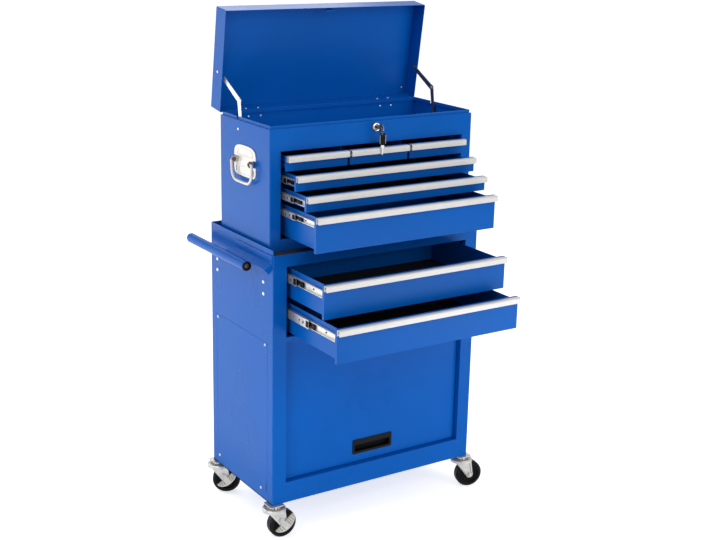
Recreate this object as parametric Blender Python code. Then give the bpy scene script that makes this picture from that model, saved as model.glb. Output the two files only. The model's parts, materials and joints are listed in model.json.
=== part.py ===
"""Two-tier rolling tool chest: a lidded top chest with six drawers on a base cabinet on castors.

Metres, +Z up. The front faces -Y. It is modelled as it stands in use: the lid is up on its
stays and the drawers are pulled out in steps.
"""

import math

import bmesh
import bpy
from mathutils import Matrix, Vector

# Sheet metal and fits
SHEET = 0.0012
SEAT_GAP = 0.0003
EMBED = 0.0003
OVERRUN = 0.004
FOLD_RADIUS = 0.0022
FOLD_STEPS = 2
ROUND_SIDES = 20
WHEEL_SIDES = 28

# Castors
WHEEL_RADIUS = 0.0375
WHEEL_WIDTH = 0.024
WHEEL_SHOULDER = 0.004
HUB_RADIUS = 0.012
HUB_RECESS = 0.0035
RIM_RADIUS = 0.0265
AXLE_RADIUS = 0.0040
AXLE_HEAD_RADIUS = 0.0046
AXLE_HEAD_HEIGHT = 0.0012
RUNNING_GAP = 0.0005
CASTOR_TRAIL = 0.021
FORK_SHEET = 0.0025
FORK_SIDE_GAP = 0.0020
FORK_TIP_RADIUS = 0.0095
FORK_TOP_WIDTH = 0.0490
CROWN_RADIUS = 0.0305
CROWN_LIP = 0.0090
CROWN_HEIGHT = 0.0825
RACE_RADIUS = 0.0185
RACE_HEIGHT = 0.0060
RACE_WAIST = 0.0014
CASTOR_PLATE_SIZE = 0.0400
CASTOR_PLATE_SHEET = 0.0025
KINGPIN_RADIUS = 0.0060
KINGPIN_HEAD_RADIUS = 0.0095
CASTOR_INSET = 0.0100
CASTOR_TURNS = {
    "front_left": -3.0,
    "front_right": -16.0,
    "rear_left": -27.0,
    "rear_right": -21.0,
}
PEDAL_SHEET = 0.0018
PEDAL_SLOPE = 40.0
PEDAL_FLARE = 36.0
PEDAL_CHORD_RISE = 0.0070
PEDAL_CHORD_START = -0.0270
PEDAL_CHORD_END = 0.0380
PEDAL_TREAD = 0.0215
PEDAL_TAB_HALF = 0.0065
PEDAL_PIN_ALONG = 0.0030
PEDAL_PIN_RISE = 0.0160
PEDAL_PIN_RADIUS = 0.0026
PEDAL_PIN_HEAD_RADIUS = 0.0045
PEDAL_PIN_HEAD = 0.0012

# Base cabinet
BASE_WIDTH = 0.616
BASE_DEPTH = 0.330
BASE_HEIGHT = 0.6677
TOP_RAIL_DROP = 0.0133
TOP_RAIL_HEIGHT = 0.0310
MID_RAIL_HEIGHT = 0.0130
BOTTOM_RAIL_HEIGHT = 0.0545
STILE_WIDTH = 0.0375
RETURN_FLANGE = 0.0130
DECK_DROP = 0.0030
MAT_SHEET = 0.0022
MAT_MARGIN = 0.0040
MAT_CORNER = 0.0060
POST_WIDTH = 0.0260
POST_END_GAP = 0.0040
SEAM_WIDTH = 0.0012
SEAM_DEPTH = 0.0006
SIDE_PANEL_MARGIN = 0.0270
SIDE_PANEL_FOOT = 0.0240
SIDE_PANEL_TOP = 0.4270

# Drawers
TRIM_HEIGHT = 0.0143
TRIM_REACH = 0.0110
TRIM_SHEET = 0.0012
TRIM_NOSE = 0.0030
FACE_FLANGE = 0.0080
BOX_LIFT = 0.0040
BOX_TOP_DROP = 0.0040
LINER_LIP = 0.0020
SLIDE_THICKNESS = 0.0127
SLIDE_SHEET = 0.0010
BALL_GAP = 0.0006
SLIDE_INNER_FLANGE = 0.0062
SLIDE_MIDDLE_START = 0.0030
SLIDE_MIDDLE_END = 0.0097
SLIDE_OUTER_START = 0.0062
SLIDE_FRONT_GAP = 0.0060
SLIDE_TONGUE = 0.0100

# Base drawers, top one first
BASE_DRAWER_NAMES = ("base_drawer_upper", "base_drawer_lower")
BASE_FACE_SIDE_GAP = 0.0032
BASE_FACE_TOP_GAP = 0.0038
BASE_FACE_HEIGHT = 0.0834
BASE_FACE_GAP = 0.0064
BASE_BOX_DEPTH = 0.2950
BASE_SLIDE_HALF = 0.0125
BASE_SLIDE_DROP = 0.0270
BASE_SLIDE_LENGTH = 0.2900
BASE_OPENINGS = (0.1680, 0.2270)
BASE_MIDDLE_SHARES = (0.32, 0.50)

# Door
DOOR_RECESS = 0.0150
DOOR_PAN_DEPTH = 0.0120
DOOR_SIDE_GAP = 0.0015
DOOR_TOP_GAP = 0.0035
DOOR_FOOT_GAP = 0.0015
DOOR_AXIS_INSET = 0.0060
DOOR_PIN_RADIUS = 0.0022
DOOR_PIN_REACH = 0.0062
PULL_WIDTH = 0.1220
PULL_HEIGHT = 0.0400
PULL_FOOT = 0.0230
PULL_BEZEL = 0.0018
PULL_RIM = 0.0045
PULL_WALL = 0.0015
PULL_DEPTH = 0.0140
PULL_LIP = 0.0090
PULL_CORNER = 0.0030

# Push handle on the left side
HANDLE_TUBE_RADIUS = 0.0125
HANDLE_TUBE_WALL = 0.0015
HANDLE_TUBE_FRONT = -0.0850
HANDLE_TUBE_REAR = 0.2180
HANDLE_REACH = 0.0367
HANDLE_DROP = 0.0182
HANDLE_PLATE_SHEET = 0.0020
HANDLE_PLATE_FRONT = -0.1620
HANDLE_PLATE_REAR = 0.0460
HANDLE_FLANGE = 0.0106
HANDLE_TOP_DROP = 0.0204
CAP_WALL = 0.0020
CAP_PLUG = 0.0120
CAP_DOME = 0.0040

# Top chest
CHEST_WIDTH = 0.5966
CHEST_DEPTH = 0.2563
CHEST_FRONT_SETBACK = 0.0343
CHEST_HEIGHT = 0.2979
CHEST_STILE_WIDTH = 0.0293
CHEST_BOTTOM_RAIL = 0.0282
CHEST_TOP_PANEL = 0.0534
RIM_INSET = 0.0040
RIM_HEIGHT = 0.0080
TRAY_FLOOR_RISE = 0.0015
CHEST_POST_WIDTH = 0.0220
CHEST_FACE_HALF = 0.2631
CHEST_ROW_NAMES = ("chest_drawer_upper", "chest_drawer_middle", "chest_drawer_deep")
CHEST_FACE_HEIGHTS = (0.0365, 0.0365, 0.0858)
CHEST_FIRST_ROW_GAP = 0.0088
CHEST_ROW_PITCH = 0.0402
SMALL_FACE_HEIGHT = 0.0365
SMALL_FACE_GAP = 0.0070
SMALL_SLIDE_THICKNESS = 0.0082
SMALL_SLIDE_HALF = 0.0080
SMALL_SLIDE_REACH = 0.0050
SMALL_OPENING = 0.0180
SMALL_NAMES = ("small_drawer_left", "small_drawer_centre", "small_drawer_right")
CHEST_OPENINGS = (0.0632, 0.1110, 0.1560)
CHEST_MIDDLE_SHARES = (0.50, 0.58, 0.47)
CHEST_BOX_DEPTH = 0.2320
CHEST_SLIDE_HALF = 0.0100
CHEST_SLIDE_DROP = 0.0205
CHEST_SLIDE_LENGTH = 0.2280

# Lid and its stays
LID_DEPTH = 0.0500
LID_OPEN = 81.8
HINGE_SETBACK = 0.0035
HINGE_RISE = 0.0012
HINGE_KNUCKLE_RADIUS = 0.0030
HINGE_PIN_RADIUS = 0.0014
HINGE_LEAF_WIDTH = 0.0600
HINGE_LEAF_SHEET = 0.0012
HINGE_LEAF_HEIGHT = 0.0220
HINGE_OFFSET = 0.2010
HINGE_KNUCKLES = 3
STAY_SHEET = 0.0015
STAY_HALF_WIDTH = 0.0045
STAY_SIDE_GAP = 0.0012
STAY_PIN_RADIUS = 0.0026
STAY_RIVET_RADIUS = 0.0042
STAY_CHEST_SETBACK = 0.1573
STAY_CHEST_DROP = 0.0293
STAY_KNEE_SETBACK = 0.1686
STAY_KNEE_RISE = 0.0447
LID_STAY_REACH = 0.0888
LID_STAY_RISE = 0.0041
RIM_NOTCH_GAP = 0.0012

# Lock and key
LOCK_DROP = 0.0143
LOCK_HEAD_RADIUS = 0.0110
LOCK_HEAD_HEIGHT = 0.0045
LOCK_BARREL_RADIUS = 0.0080
LOCK_BARREL_LENGTH = 0.0180
LOCK_PLUG_RADIUS = 0.0062
KEY_SHEET = 0.0020
KEY_BLADE_HALF = 0.0032
KEY_BLADE_LENGTH = 0.0180
KEY_BOW_RADIUS = 0.0105
KEY_HOLE_RADIUS = 0.0032
KEY_HOLE_INSET = 0.0055

# Carry handles on the chest's sides
BAIL_CENTRE_SHARE = 0.478
BAIL_PLATE_HALF = 0.0430
BAIL_PLATE_SHEET = 0.0016
BAIL_PLATE_RISE = 0.0290
BAIL_PLATE_FALL = 0.0270
BAIL_PLATE_FOOT_SHARE = 0.72
BAIL_EAR_REACH = 0.0150
BAIL_EAR_HALF = 0.0075
BAIL_AXIS_REACH = 0.0092
BAIL_AXIS_DROP = 0.0960
BAIL_WIRE = 0.0034
BAIL_HALF = 0.0530
BAIL_FALL = 0.0560
BAIL_CORNER = 0.0180
BAIL_TAIL = 0.0030

# Places worked out from the sizes above
WHEEL_CENTRE_Z = WHEEL_RADIUS
CROWN_TOP = CROWN_HEIGHT + FORK_SHEET
CASTOR_HEIGHT = CROWN_TOP + SEAT_GAP + RACE_HEIGHT + CASTOR_PLATE_SHEET
BASE_BOTTOM = CASTOR_HEIGHT + SEAT_GAP
BASE_TOP = BASE_BOTTOM + BASE_HEIGHT
BASE_HALF = BASE_WIDTH / 2
BASE_FRONT = -BASE_DEPTH / 2
BASE_REAR = BASE_DEPTH / 2
TOP_RAIL_TOP = BASE_TOP - TOP_RAIL_DROP
TOP_RAIL_BOTTOM = TOP_RAIL_TOP - TOP_RAIL_HEIGHT
BOTTOM_RAIL_TOP = BASE_BOTTOM + BOTTOM_RAIL_HEIGHT
BASE_OPENING_HALF = BASE_HALF - STILE_WIDTH
DECK_TOP = TOP_RAIL_TOP - DECK_DROP
MAT_BOTTOM = DECK_TOP + SEAT_GAP
MAT_TOP = MAT_BOTTOM + MAT_SHEET
BASE_FACE_HALF = BASE_OPENING_HALF - BASE_FACE_SIDE_GAP
UPPER_FACE_TOP = TOP_RAIL_BOTTOM - BASE_FACE_TOP_GAP
LOWER_FACE_TOP = UPPER_FACE_TOP - BASE_FACE_HEIGHT - BASE_FACE_GAP
MID_RAIL_TOP = LOWER_FACE_TOP - BASE_FACE_HEIGHT - BASE_FACE_SIDE_GAP
MID_RAIL_BOTTOM = MID_RAIL_TOP - MID_RAIL_HEIGHT
DOOR_FACE_Y = BASE_FRONT + DOOR_RECESS
DOOR_TOP = MID_RAIL_BOTTOM - DOOR_TOP_GAP
DOOR_BOTTOM = BOTTOM_RAIL_TOP + DOOR_FOOT_GAP
DOOR_HALF = BASE_OPENING_HALF - SHEET - DOOR_SIDE_GAP
CHEST_HALF = CHEST_WIDTH / 2
CHEST_FRONT = BASE_FRONT + CHEST_FRONT_SETBACK
CHEST_REAR = CHEST_FRONT + CHEST_DEPTH
CHEST_BOTTOM = MAT_TOP + SEAT_GAP
CHEST_LEDGE = CHEST_BOTTOM + CHEST_HEIGHT
CHEST_RIM_TOP = CHEST_LEDGE + RIM_HEIGHT
CHEST_OPENING_HALF = CHEST_HALF - CHEST_STILE_WIDTH
CHEST_OPENING_BOTTOM = CHEST_BOTTOM + CHEST_BOTTOM_RAIL
CHEST_OPENING_TOP = CHEST_LEDGE - CHEST_TOP_PANEL
TRAY_FLOOR = CHEST_OPENING_TOP + TRAY_FLOOR_RISE
HINGE_Y = CHEST_REAR + HINGE_SETBACK
HINGE_Z = CHEST_LEDGE + HINGE_RISE
LID_LIP_Z = CHEST_LEDGE + SEAT_GAP

MATERIALS = {}


def material(name, colour, roughness, metallic):
    """A plain finish, made once and shared."""
    if name not in MATERIALS:
        finish = bpy.data.materials.new(name)
        finish.use_nodes = True
        shader = finish.node_tree.nodes["Principled BSDF"]
        shader.inputs["Base Color"].default_value = (*colour, 1.0)
        shader.inputs["Roughness"].default_value = roughness
        shader.inputs["Metallic"].default_value = metallic
        MATERIALS[name] = finish
    return MATERIALS[name]


def blue_paint():
    return material("blue_paint", (0.010, 0.085, 0.46), 0.38, 0.0)


def zinc():
    return material("zinc_plate", (0.62, 0.61, 0.58), 0.34, 1.0)


def silver_trim():
    return material("silver_trim", (0.74, 0.70, 0.65), 0.40, 0.6)


def chrome():
    return material("chrome", (0.80, 0.80, 0.80), 0.14, 1.0)


def black_plastic():
    return material("black_plastic", (0.012, 0.012, 0.013), 0.45, 0.0)


def black_rubber():
    return material("black_rubber", (0.018, 0.018, 0.018), 0.70, 0.0)


def mirrored(side, lo, hi):
    """The box from lo to hi, or its mirror image on the right where side is 1."""
    if side > 0:
        return (-hi[0], lo[1], lo[2]), (-lo[0], hi[1], hi[2])
    return lo, hi


def box_mesh(*boxes):
    """One mesh of closed boxes, each given by its lowest and highest corners."""
    bm = bmesh.new()
    for lo, hi in boxes:
        size = Vector(hi) - Vector(lo)
        centre = (Vector(hi) + Vector(lo)) / 2
        placed = Matrix.Translation(centre) @ Matrix.Diagonal((*size, 1.0))
        bmesh.ops.create_cube(bm, size=1.0, matrix=placed)
    return bm


def folded_box(lo, hi, radius, along="z"):
    """A box whose four edges along one axis are rounded as a folded sheet is."""
    bm = box_mesh((lo, hi))
    index = "xyz".index(along)
    edges = [e for e in bm.edges if abs((e.verts[1].co - e.verts[0].co).normalized()[index]) > 0.9]
    bmesh.ops.bevel(bm, geom=edges, offset=radius, segments=FOLD_STEPS, affect="EDGES", profile=0.5)
    return bm


def prism(points, start, end, axis="x"):
    """A closed prism: the outline's points lie across the axis, in the order of the other two."""
    bm = bmesh.new()
    places = {
        "x": lambda p, d: (d, p[0], p[1]),
        "y": lambda p, d: (p[0], d, p[1]),
        "z": lambda p, d: (p[0], p[1], d),
    }[axis]
    near = [bm.verts.new(places(p, start)) for p in points]
    far = [bm.verts.new(places(p, end)) for p in points]
    bm.faces.new(near)
    bm.faces.new(list(reversed(far)))
    count = len(points)
    for i in range(count):
        j = (i + 1) % count
        bm.faces.new((near[i], far[i], far[j], near[j]))
    bmesh.ops.recalc_face_normals(bm, faces=bm.faces)
    return bm


def arc(centre, radius, start, end, steps):
    """Points along an arc, its angles in degrees from the first axis."""
    points = []
    for i in range(steps + 1):
        angle = math.radians(start + (end - start) * i / steps)
        points.append((centre[0] + radius * math.cos(angle), centre[1] + radius * math.sin(angle)))
    return points


def lathe(profile, sides=ROUND_SIDES, axis="z", centre=(0, 0, 0)):
    """A profile of (radius, height) points turned about an axis; ends at radius zero are closed."""
    bm = bmesh.new()
    rings = []
    for radius, height in profile:
        if radius == 0:
            rings.append([bm.verts.new((0, 0, height))])
            continue
        ring = []
        for i in range(sides):
            turn = 2 * math.pi * i / sides
            ring.append(bm.verts.new((radius * math.cos(turn), radius * math.sin(turn), height)))
        rings.append(ring)
    pairs = list(zip(rings, rings[1:]))
    if len(rings[0]) > 1:
        pairs.append((rings[-1], rings[0]))
    for one, two in pairs:
        for i in range(sides):
            j = (i + 1) % sides
            corners = [one[i % len(one)], one[j % len(one)], two[j % len(two)], two[i % len(two)]]
            distinct = list(dict.fromkeys(corners))
            if len(distinct) > 2:
                bm.faces.new(distinct)
    bmesh.ops.recalc_face_normals(bm, faces=bm.faces)
    turns = {"z": Matrix.Identity(4), "x": Matrix.Rotation(math.pi / 2, 4, "Y"),
             "y": Matrix.Rotation(-math.pi / 2, 4, "X")}
    bmesh.ops.transform(bm, matrix=Matrix.Translation(Vector(centre)) @ turns[axis], verts=bm.verts)
    return bm


def cylinder(radius, low, high, axis, centre, sides=ROUND_SIDES):
    """A plain pin from low to high along its axis, its centre given for the other two axes."""
    return lathe([(0, low), (radius, low), (radius, high), (0, high)], sides, axis, centre)


def sweep(path, radius, sides=10):
    """A round wire along a flat open path of points."""
    bm = bmesh.new()
    rings = []
    points = [Vector(p) for p in path]
    normal = Vector((1, 0, 0))
    for i, point in enumerate(points):
        before = (point - points[i - 1]).normalized() if i else None
        after = (points[i + 1] - point).normalized() if i + 1 < len(points) else None
        tangent = ((before or after) + (after or before)).normalized()
        across = tangent.cross(normal).normalized()
        spread = 1.0
        if before is not None and after is not None:
            spread = 1.0 / max(math.sqrt((1 + before.dot(after)) / 2), 0.5)
        ring = []
        for k in range(sides):
            turn = 2 * math.pi * k / sides
            offset = normal * math.cos(turn) + across * math.sin(turn) * spread
            ring.append(bm.verts.new(point + offset * radius))
        rings.append(ring)
    for one, two in zip(rings, rings[1:]):
        for k in range(sides):
            j = (k + 1) % sides
            bm.faces.new((one[k], one[j], two[j], two[k]))
    bm.faces.new(rings[0])
    bm.faces.new(list(reversed(rings[-1])))
    bmesh.ops.recalc_face_normals(bm, faces=bm.faces)
    return bm


def solid(bm, name="tool"):
    """An object from a mesh under construction."""
    mesh = bpy.data.meshes.new(name)
    bm.to_mesh(mesh)
    bm.free()
    piece = bpy.data.objects.new(name, mesh)
    bpy.context.scene.collection.objects.link(piece)
    return piece


def combine(piece, bm, operation):
    """Cuts a shape out of a piece or joins it on, and keeps the result as the piece's mesh."""
    tool = solid(bm)
    step = piece.modifiers.new(operation, "BOOLEAN")
    step.operation = operation
    step.solver = "EXACT"
    step.object = tool
    graph = bpy.context.evaluated_depsgraph_get()
    result = bpy.data.meshes.new_from_object(piece.evaluated_get(graph))
    piece.modifiers.clear()
    old = piece.data
    piece.data = result
    bpy.data.meshes.remove(old)
    bpy.data.objects.remove(tool)


def cut(piece, *shapes):
    for bm in shapes:
        combine(piece, bm, "DIFFERENCE")


def join(piece, *shapes):
    for bm in shapes:
        combine(piece, bm, "UNION")


def finish(piece, name, finish_material, pivot=(0, 0, 0), parent=None, turn=0.0, turn_axis="X",
           smooth_angle=35.0):
    """Names the piece, moves its origin to its pivot and hangs it on its parent."""
    piece.name = name
    piece.data.name = name
    piece.data.transform(Matrix.Translation(-Vector(pivot)))
    piece.data.materials.clear()
    piece.data.materials.append(finish_material)
    for polygon in piece.data.polygons:
        polygon.material_index = 0
    piece.data.shade_smooth()
    piece.data.set_sharp_from_angle(angle=math.radians(smooth_angle))
    piece.location = pivot
    piece.rotation_euler = Matrix.Rotation(math.radians(turn), 3, turn_axis).to_euler()
    if parent is not None:
        piece.parent = parent
    return piece


def guide(name, place=(0, 0, 0), parent=None):
    """An empty that carries a moving group; it isn't a piece."""
    empty = bpy.data.objects.new(name, None)
    bpy.context.scene.collection.objects.link(empty)
    empty.location = place
    if parent is not None:
        empty.parent = parent
    return empty


def slide_profile(side, plane, start, end, half, web_at_end):
    """A channel's cross-section between two distances from the drawer's side, as (x, z) points.

    plane is the drawer side's distance from the middle; the channel opens to the drawer where
    web_at_end is true, and away from it otherwise.
    """
    inner_half = half - SLIDE_SHEET
    near, far = plane + start, plane + end
    if web_at_end:
        points = [(near, half), (far, half), (far, -half), (near, -half),
                  (near, -inner_half), (far - SLIDE_SHEET, -inner_half),
                  (far - SLIDE_SHEET, inner_half), (near, inner_half)]
    else:
        points = [(far, half), (near, half), (near, -half), (far, -half),
                  (far, -inner_half), (near + SLIDE_SHEET, -inner_half),
                  (near + SLIDE_SHEET, inner_half), (far, inner_half)]
    return [(side * x, z) for x, z in points]


def slide_member(side, plane, start, end, half, web_at_end, centre_z, front, rear, centre_x=0.0):
    """One channel of a telescopic slide, lying along Y."""
    outline = slide_profile(side, plane, start, end, half, web_at_end)
    shifted = [(centre_x + x, centre_z + z) for x, z in outline]
    return prism(shifted, front, rear, "y")


def middle_half(outer_half):
    return outer_half - SLIDE_SHEET - BALL_GAP


def inner_half(outer_half):
    return middle_half(outer_half) - SLIDE_SHEET - BALL_GAP


def support_post(side, wall, plane, front, rear, low, high):
    """A folded channel between a side wall and the slides' mounting plane, open at its top."""
    web = mirrored(side, (-plane - SHEET, front, low), (-plane, rear, high))
    flange_front = mirrored(side, (-wall - EMBED, front, low), (-plane, front + SHEET, high))
    flange_rear = mirrored(side, (-wall - EMBED, rear - SHEET, low), (-plane, rear, high))
    return [box_mesh(web), box_mesh(flange_front), box_mesh(flange_rear)]


def return_flanges(half, low, high, front, depth):
    """The four flanges that fold back round an opening, one sheet thick outside it."""
    back = front + depth
    outer = half + SHEET
    return [
        box_mesh(((-outer, front, low - SHEET), (-half, back, high + SHEET))),
        box_mesh(((half, front, low - SHEET), (outer, back, high + SHEET))),
        box_mesh(((-outer, front, high), (outer, back, high + SHEET))),
        box_mesh(((-outer, front, low - SHEET), (outer, back, low))),
    ]


def base_shell(cart):
    """The base cabinet: one folded shell with its front frame, deck, slide posts and channels."""
    wall = BASE_HALF - SHEET
    shell = solid(folded_box((-BASE_HALF, BASE_FRONT, BASE_BOTTOM), (BASE_HALF, BASE_REAR, BASE_TOP),
                             FOLD_RADIUS))
    deck_bottom = DECK_TOP - SHEET
    cut(shell,
        box_mesh(((-wall, BASE_FRONT + SHEET, BASE_BOTTOM + SHEET),
                  (wall, BASE_REAR - SHEET, deck_bottom))),
        box_mesh(((-wall, BASE_FRONT - OVERRUN, TOP_RAIL_TOP),
                  (wall, BASE_REAR - SHEET, BASE_TOP + OVERRUN))),
        box_mesh(((-wall, BASE_FRONT + SHEET, DECK_TOP),
                  (wall, BASE_REAR - SHEET, TOP_RAIL_TOP + OVERRUN))),
        box_mesh(((-BASE_OPENING_HALF, BASE_FRONT - OVERRUN, MID_RAIL_TOP),
                  (BASE_OPENING_HALF, BASE_FRONT + SHEET + OVERRUN, TOP_RAIL_BOTTOM))),
        box_mesh(((-BASE_OPENING_HALF, BASE_FRONT - OVERRUN, BOTTOM_RAIL_TOP),
                  (BASE_OPENING_HALF, BASE_FRONT + SHEET + OVERRUN, MID_RAIL_BOTTOM))))
    flange_front = BASE_FRONT + SHEET - EMBED
    door_back = DOOR_FACE_Y + DOOR_PAN_DEPTH
    join(shell, *return_flanges(BASE_OPENING_HALF, MID_RAIL_TOP, TOP_RAIL_BOTTOM, flange_front,
                                RETURN_FLANGE))
    jamb = door_back - flange_front
    join(shell, *return_flanges(BASE_OPENING_HALF, BOTTOM_RAIL_TOP, MID_RAIL_BOTTOM, flange_front,
                                jamb))
    plane = BASE_FACE_HALF
    slide_front = BASE_FRONT + SLIDE_FRONT_GAP + RETURN_FLANGE
    slide_rear = slide_front + BASE_SLIDE_LENGTH
    post_front = slide_front + POST_WIDTH
    post_top = deck_bottom - POST_END_GAP
    for side in (-1, 1):
        for front in (post_front, slide_rear - POST_WIDTH):
            join(shell, *support_post(side, wall, plane + SEAT_GAP, front, front + POST_WIDTH,
                                      MID_RAIL_BOTTOM - SHEET, post_top))
        for face_top in (UPPER_FACE_TOP, LOWER_FACE_TOP):
            join(shell, slide_member(side, plane - SLIDE_THICKNESS, SLIDE_OUTER_START,
                                     SLIDE_THICKNESS + SEAT_GAP + EMBED, BASE_SLIDE_HALF, True,
                                     face_top - BASE_SLIDE_DROP, slide_front, slide_rear))
    for side in (-1, 1):
        join(shell, door_pin(side, 0))
    cut(shell, *side_panel_seams())
    finish(shell, "base_shell", blue_paint(), parent=cart)
    return shell


def door_pin(side, clearance):
    """The short pin that the door hangs on at one jamb, or its hole where clearance is given."""
    ends = sorted((side * (BASE_OPENING_HALF + EMBED), side * (BASE_OPENING_HALF - DOOR_PIN_REACH)))
    return cylinder(DOOR_PIN_RADIUS + clearance, ends[0] - clearance, ends[1] + clearance, "x",
                    (0, DOOR_FACE_Y + DOOR_AXIS_INSET, DOOR_TOP - DOOR_AXIS_INSET), 12)


def side_panel_seams():
    """Shallow grooves round the lower panel of each side wall, joined at their corners."""
    low = BASE_BOTTOM + SIDE_PANEL_FOOT
    high = BASE_BOTTOM + SIDE_PANEL_TOP
    front = BASE_FRONT + SIDE_PANEL_MARGIN
    rear = BASE_REAR - SIDE_PANEL_MARGIN
    shapes = []
    for side in (-1, 1):
        depth_from = -BASE_HALF - OVERRUN
        depth_to = -BASE_HALF + SEAM_DEPTH
        strips = [((front, low), (front + SEAM_WIDTH, high)), ((rear - SEAM_WIDTH, low), (rear, high)),
                  ((front, high - SEAM_WIDTH), (rear, high))]
        for (y_low, z_low), (y_high, z_high) in strips:
            shapes.append(box_mesh(mirrored(side, (depth_from, y_low, z_low),
                                            (depth_to, y_high, z_high))))
    return shapes


def top_mat(cart):
    """The ribbed mat that lies on the base cabinet's deck, under the chest."""
    half = BASE_HALF - SHEET - MAT_MARGIN
    front = BASE_FRONT + SHEET + MAT_MARGIN
    rear = BASE_REAR - SHEET - MAT_MARGIN
    mat = solid(folded_box((-half, front, MAT_BOTTOM), (half, rear, MAT_TOP), MAT_CORNER))
    finish(mat, "top_mat", black_rubber(), parent=cart)


def drawer_shape(half, face_y, face_top, face_height, box_half, box_depth, centre_x=0.0):
    """A drawer folded from sheet: an open box behind a front pan with its flanges."""
    face_bottom = face_top - face_height
    pan_back = face_y + FACE_FLANGE
    pan = solid(box_mesh(((centre_x - half, face_y, face_bottom), (centre_x + half, pan_back, face_top))))
    cut(pan, box_mesh(((centre_x - half + SHEET, face_y + SHEET, face_bottom + SHEET),
                       (centre_x + half - SHEET, pan_back + OVERRUN, face_top - SHEET))))
    box_front = face_y + SHEET - EMBED
    box_rear = face_y + box_depth
    box_bottom = face_bottom + BOX_LIFT
    box_top = face_top - BOX_TOP_DROP
    inside_left = centre_x - box_half + SHEET
    inside_right = centre_x + box_half - SHEET
    box = box_mesh(((centre_x - box_half, box_front, box_bottom), (centre_x + box_half, box_rear, box_top)))
    join(pan, box)
    cut(pan, box_mesh(((inside_left, face_y + SHEET, box_bottom + SHEET),
                       (inside_right, box_rear - SHEET, box_top + OVERRUN / 8))))
    return pan


def trim_shape(half, face_y, face_top, centre_x=0.0):
    """The finger pull along a drawer's top edge: a folded strip with a rounded nose."""
    back = face_y - SEAT_GAP
    front = face_y - TRIM_REACH
    top = face_top
    bottom = top - TRIM_HEIGHT
    outer = [(back, top)]
    outer += arc((front + TRIM_NOSE, top - TRIM_NOSE), TRIM_NOSE, 90, 180, 3)
    outer += [(front, bottom), (front + TRIM_SHEET, bottom)]
    inner_nose = TRIM_NOSE - TRIM_SHEET
    outer += arc((front + TRIM_NOSE, top - TRIM_NOSE), inner_nose, 180, 90, 2)
    outer += [(back - TRIM_SHEET, top - TRIM_SHEET), (back - TRIM_SHEET, bottom), (back, bottom)]
    return prism(outer, centre_x - half, centre_x + half, "x")


def slide_drawer(cart, name, half, face_y, face_top, face_height, box_depth, slide_half,
                 slide_drop):
    """A full-width drawer with the inner channels of its slides, and its finger pull."""
    box_half = half - SLIDE_THICKNESS
    shape = drawer_shape(half, face_y, face_top, face_height, box_half, box_depth)
    centre_z = face_top - slide_drop
    front = face_y + SLIDE_TONGUE
    for side in (-1, 1):
        join(shape, slide_member(side, box_half, -EMBED, SLIDE_INNER_FLANGE, inner_half(slide_half),
                                 False, centre_z, front, face_y + box_depth - SLIDE_TONGUE))
    pivot = (0, face_y, face_top)
    drawer = finish(shape, name, blue_paint(), pivot, cart)
    trim = solid(trim_shape(half, face_y, face_top))
    finish(trim, name + "_trim", silver_trim(), pivot)
    trim.location = (0, 0, 0)
    trim.parent = drawer


def slide_middles(cart, name, half, slide_half, centre_z, front, length):
    """The middle channels that run between the cabinet's and the drawer's, one on each side."""
    for side, hand in ((-1, "left"), (1, "right")):
        channel = solid(slide_member(side, half - SLIDE_THICKNESS, SLIDE_MIDDLE_START,
                                     SLIDE_MIDDLE_END, middle_half(slide_half), True, centre_z,
                                     front, front + length))
        finish(channel, name + "_slide_" + hand, zinc(), (0, front, centre_z), cart)


def base_drawers(cart):
    """Two deep drawers on telescopic slides."""
    slide_front = BASE_FRONT + SLIDE_FRONT_GAP + RETURN_FLANGE
    tops = (UPPER_FACE_TOP, LOWER_FACE_TOP)
    for name, top, out, share in zip(BASE_DRAWER_NAMES, tops, BASE_OPENINGS, BASE_MIDDLE_SHARES):
        slide_drawer(cart, name, BASE_FACE_HALF, BASE_FRONT - out, top, BASE_FACE_HEIGHT,
                     BASE_BOX_DEPTH, BASE_SLIDE_HALF, BASE_SLIDE_DROP)
        slide_middles(cart, name, BASE_FACE_HALF, BASE_SLIDE_HALF, top - BASE_SLIDE_DROP,
                      slide_front - out * share, BASE_SLIDE_LENGTH)


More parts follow.
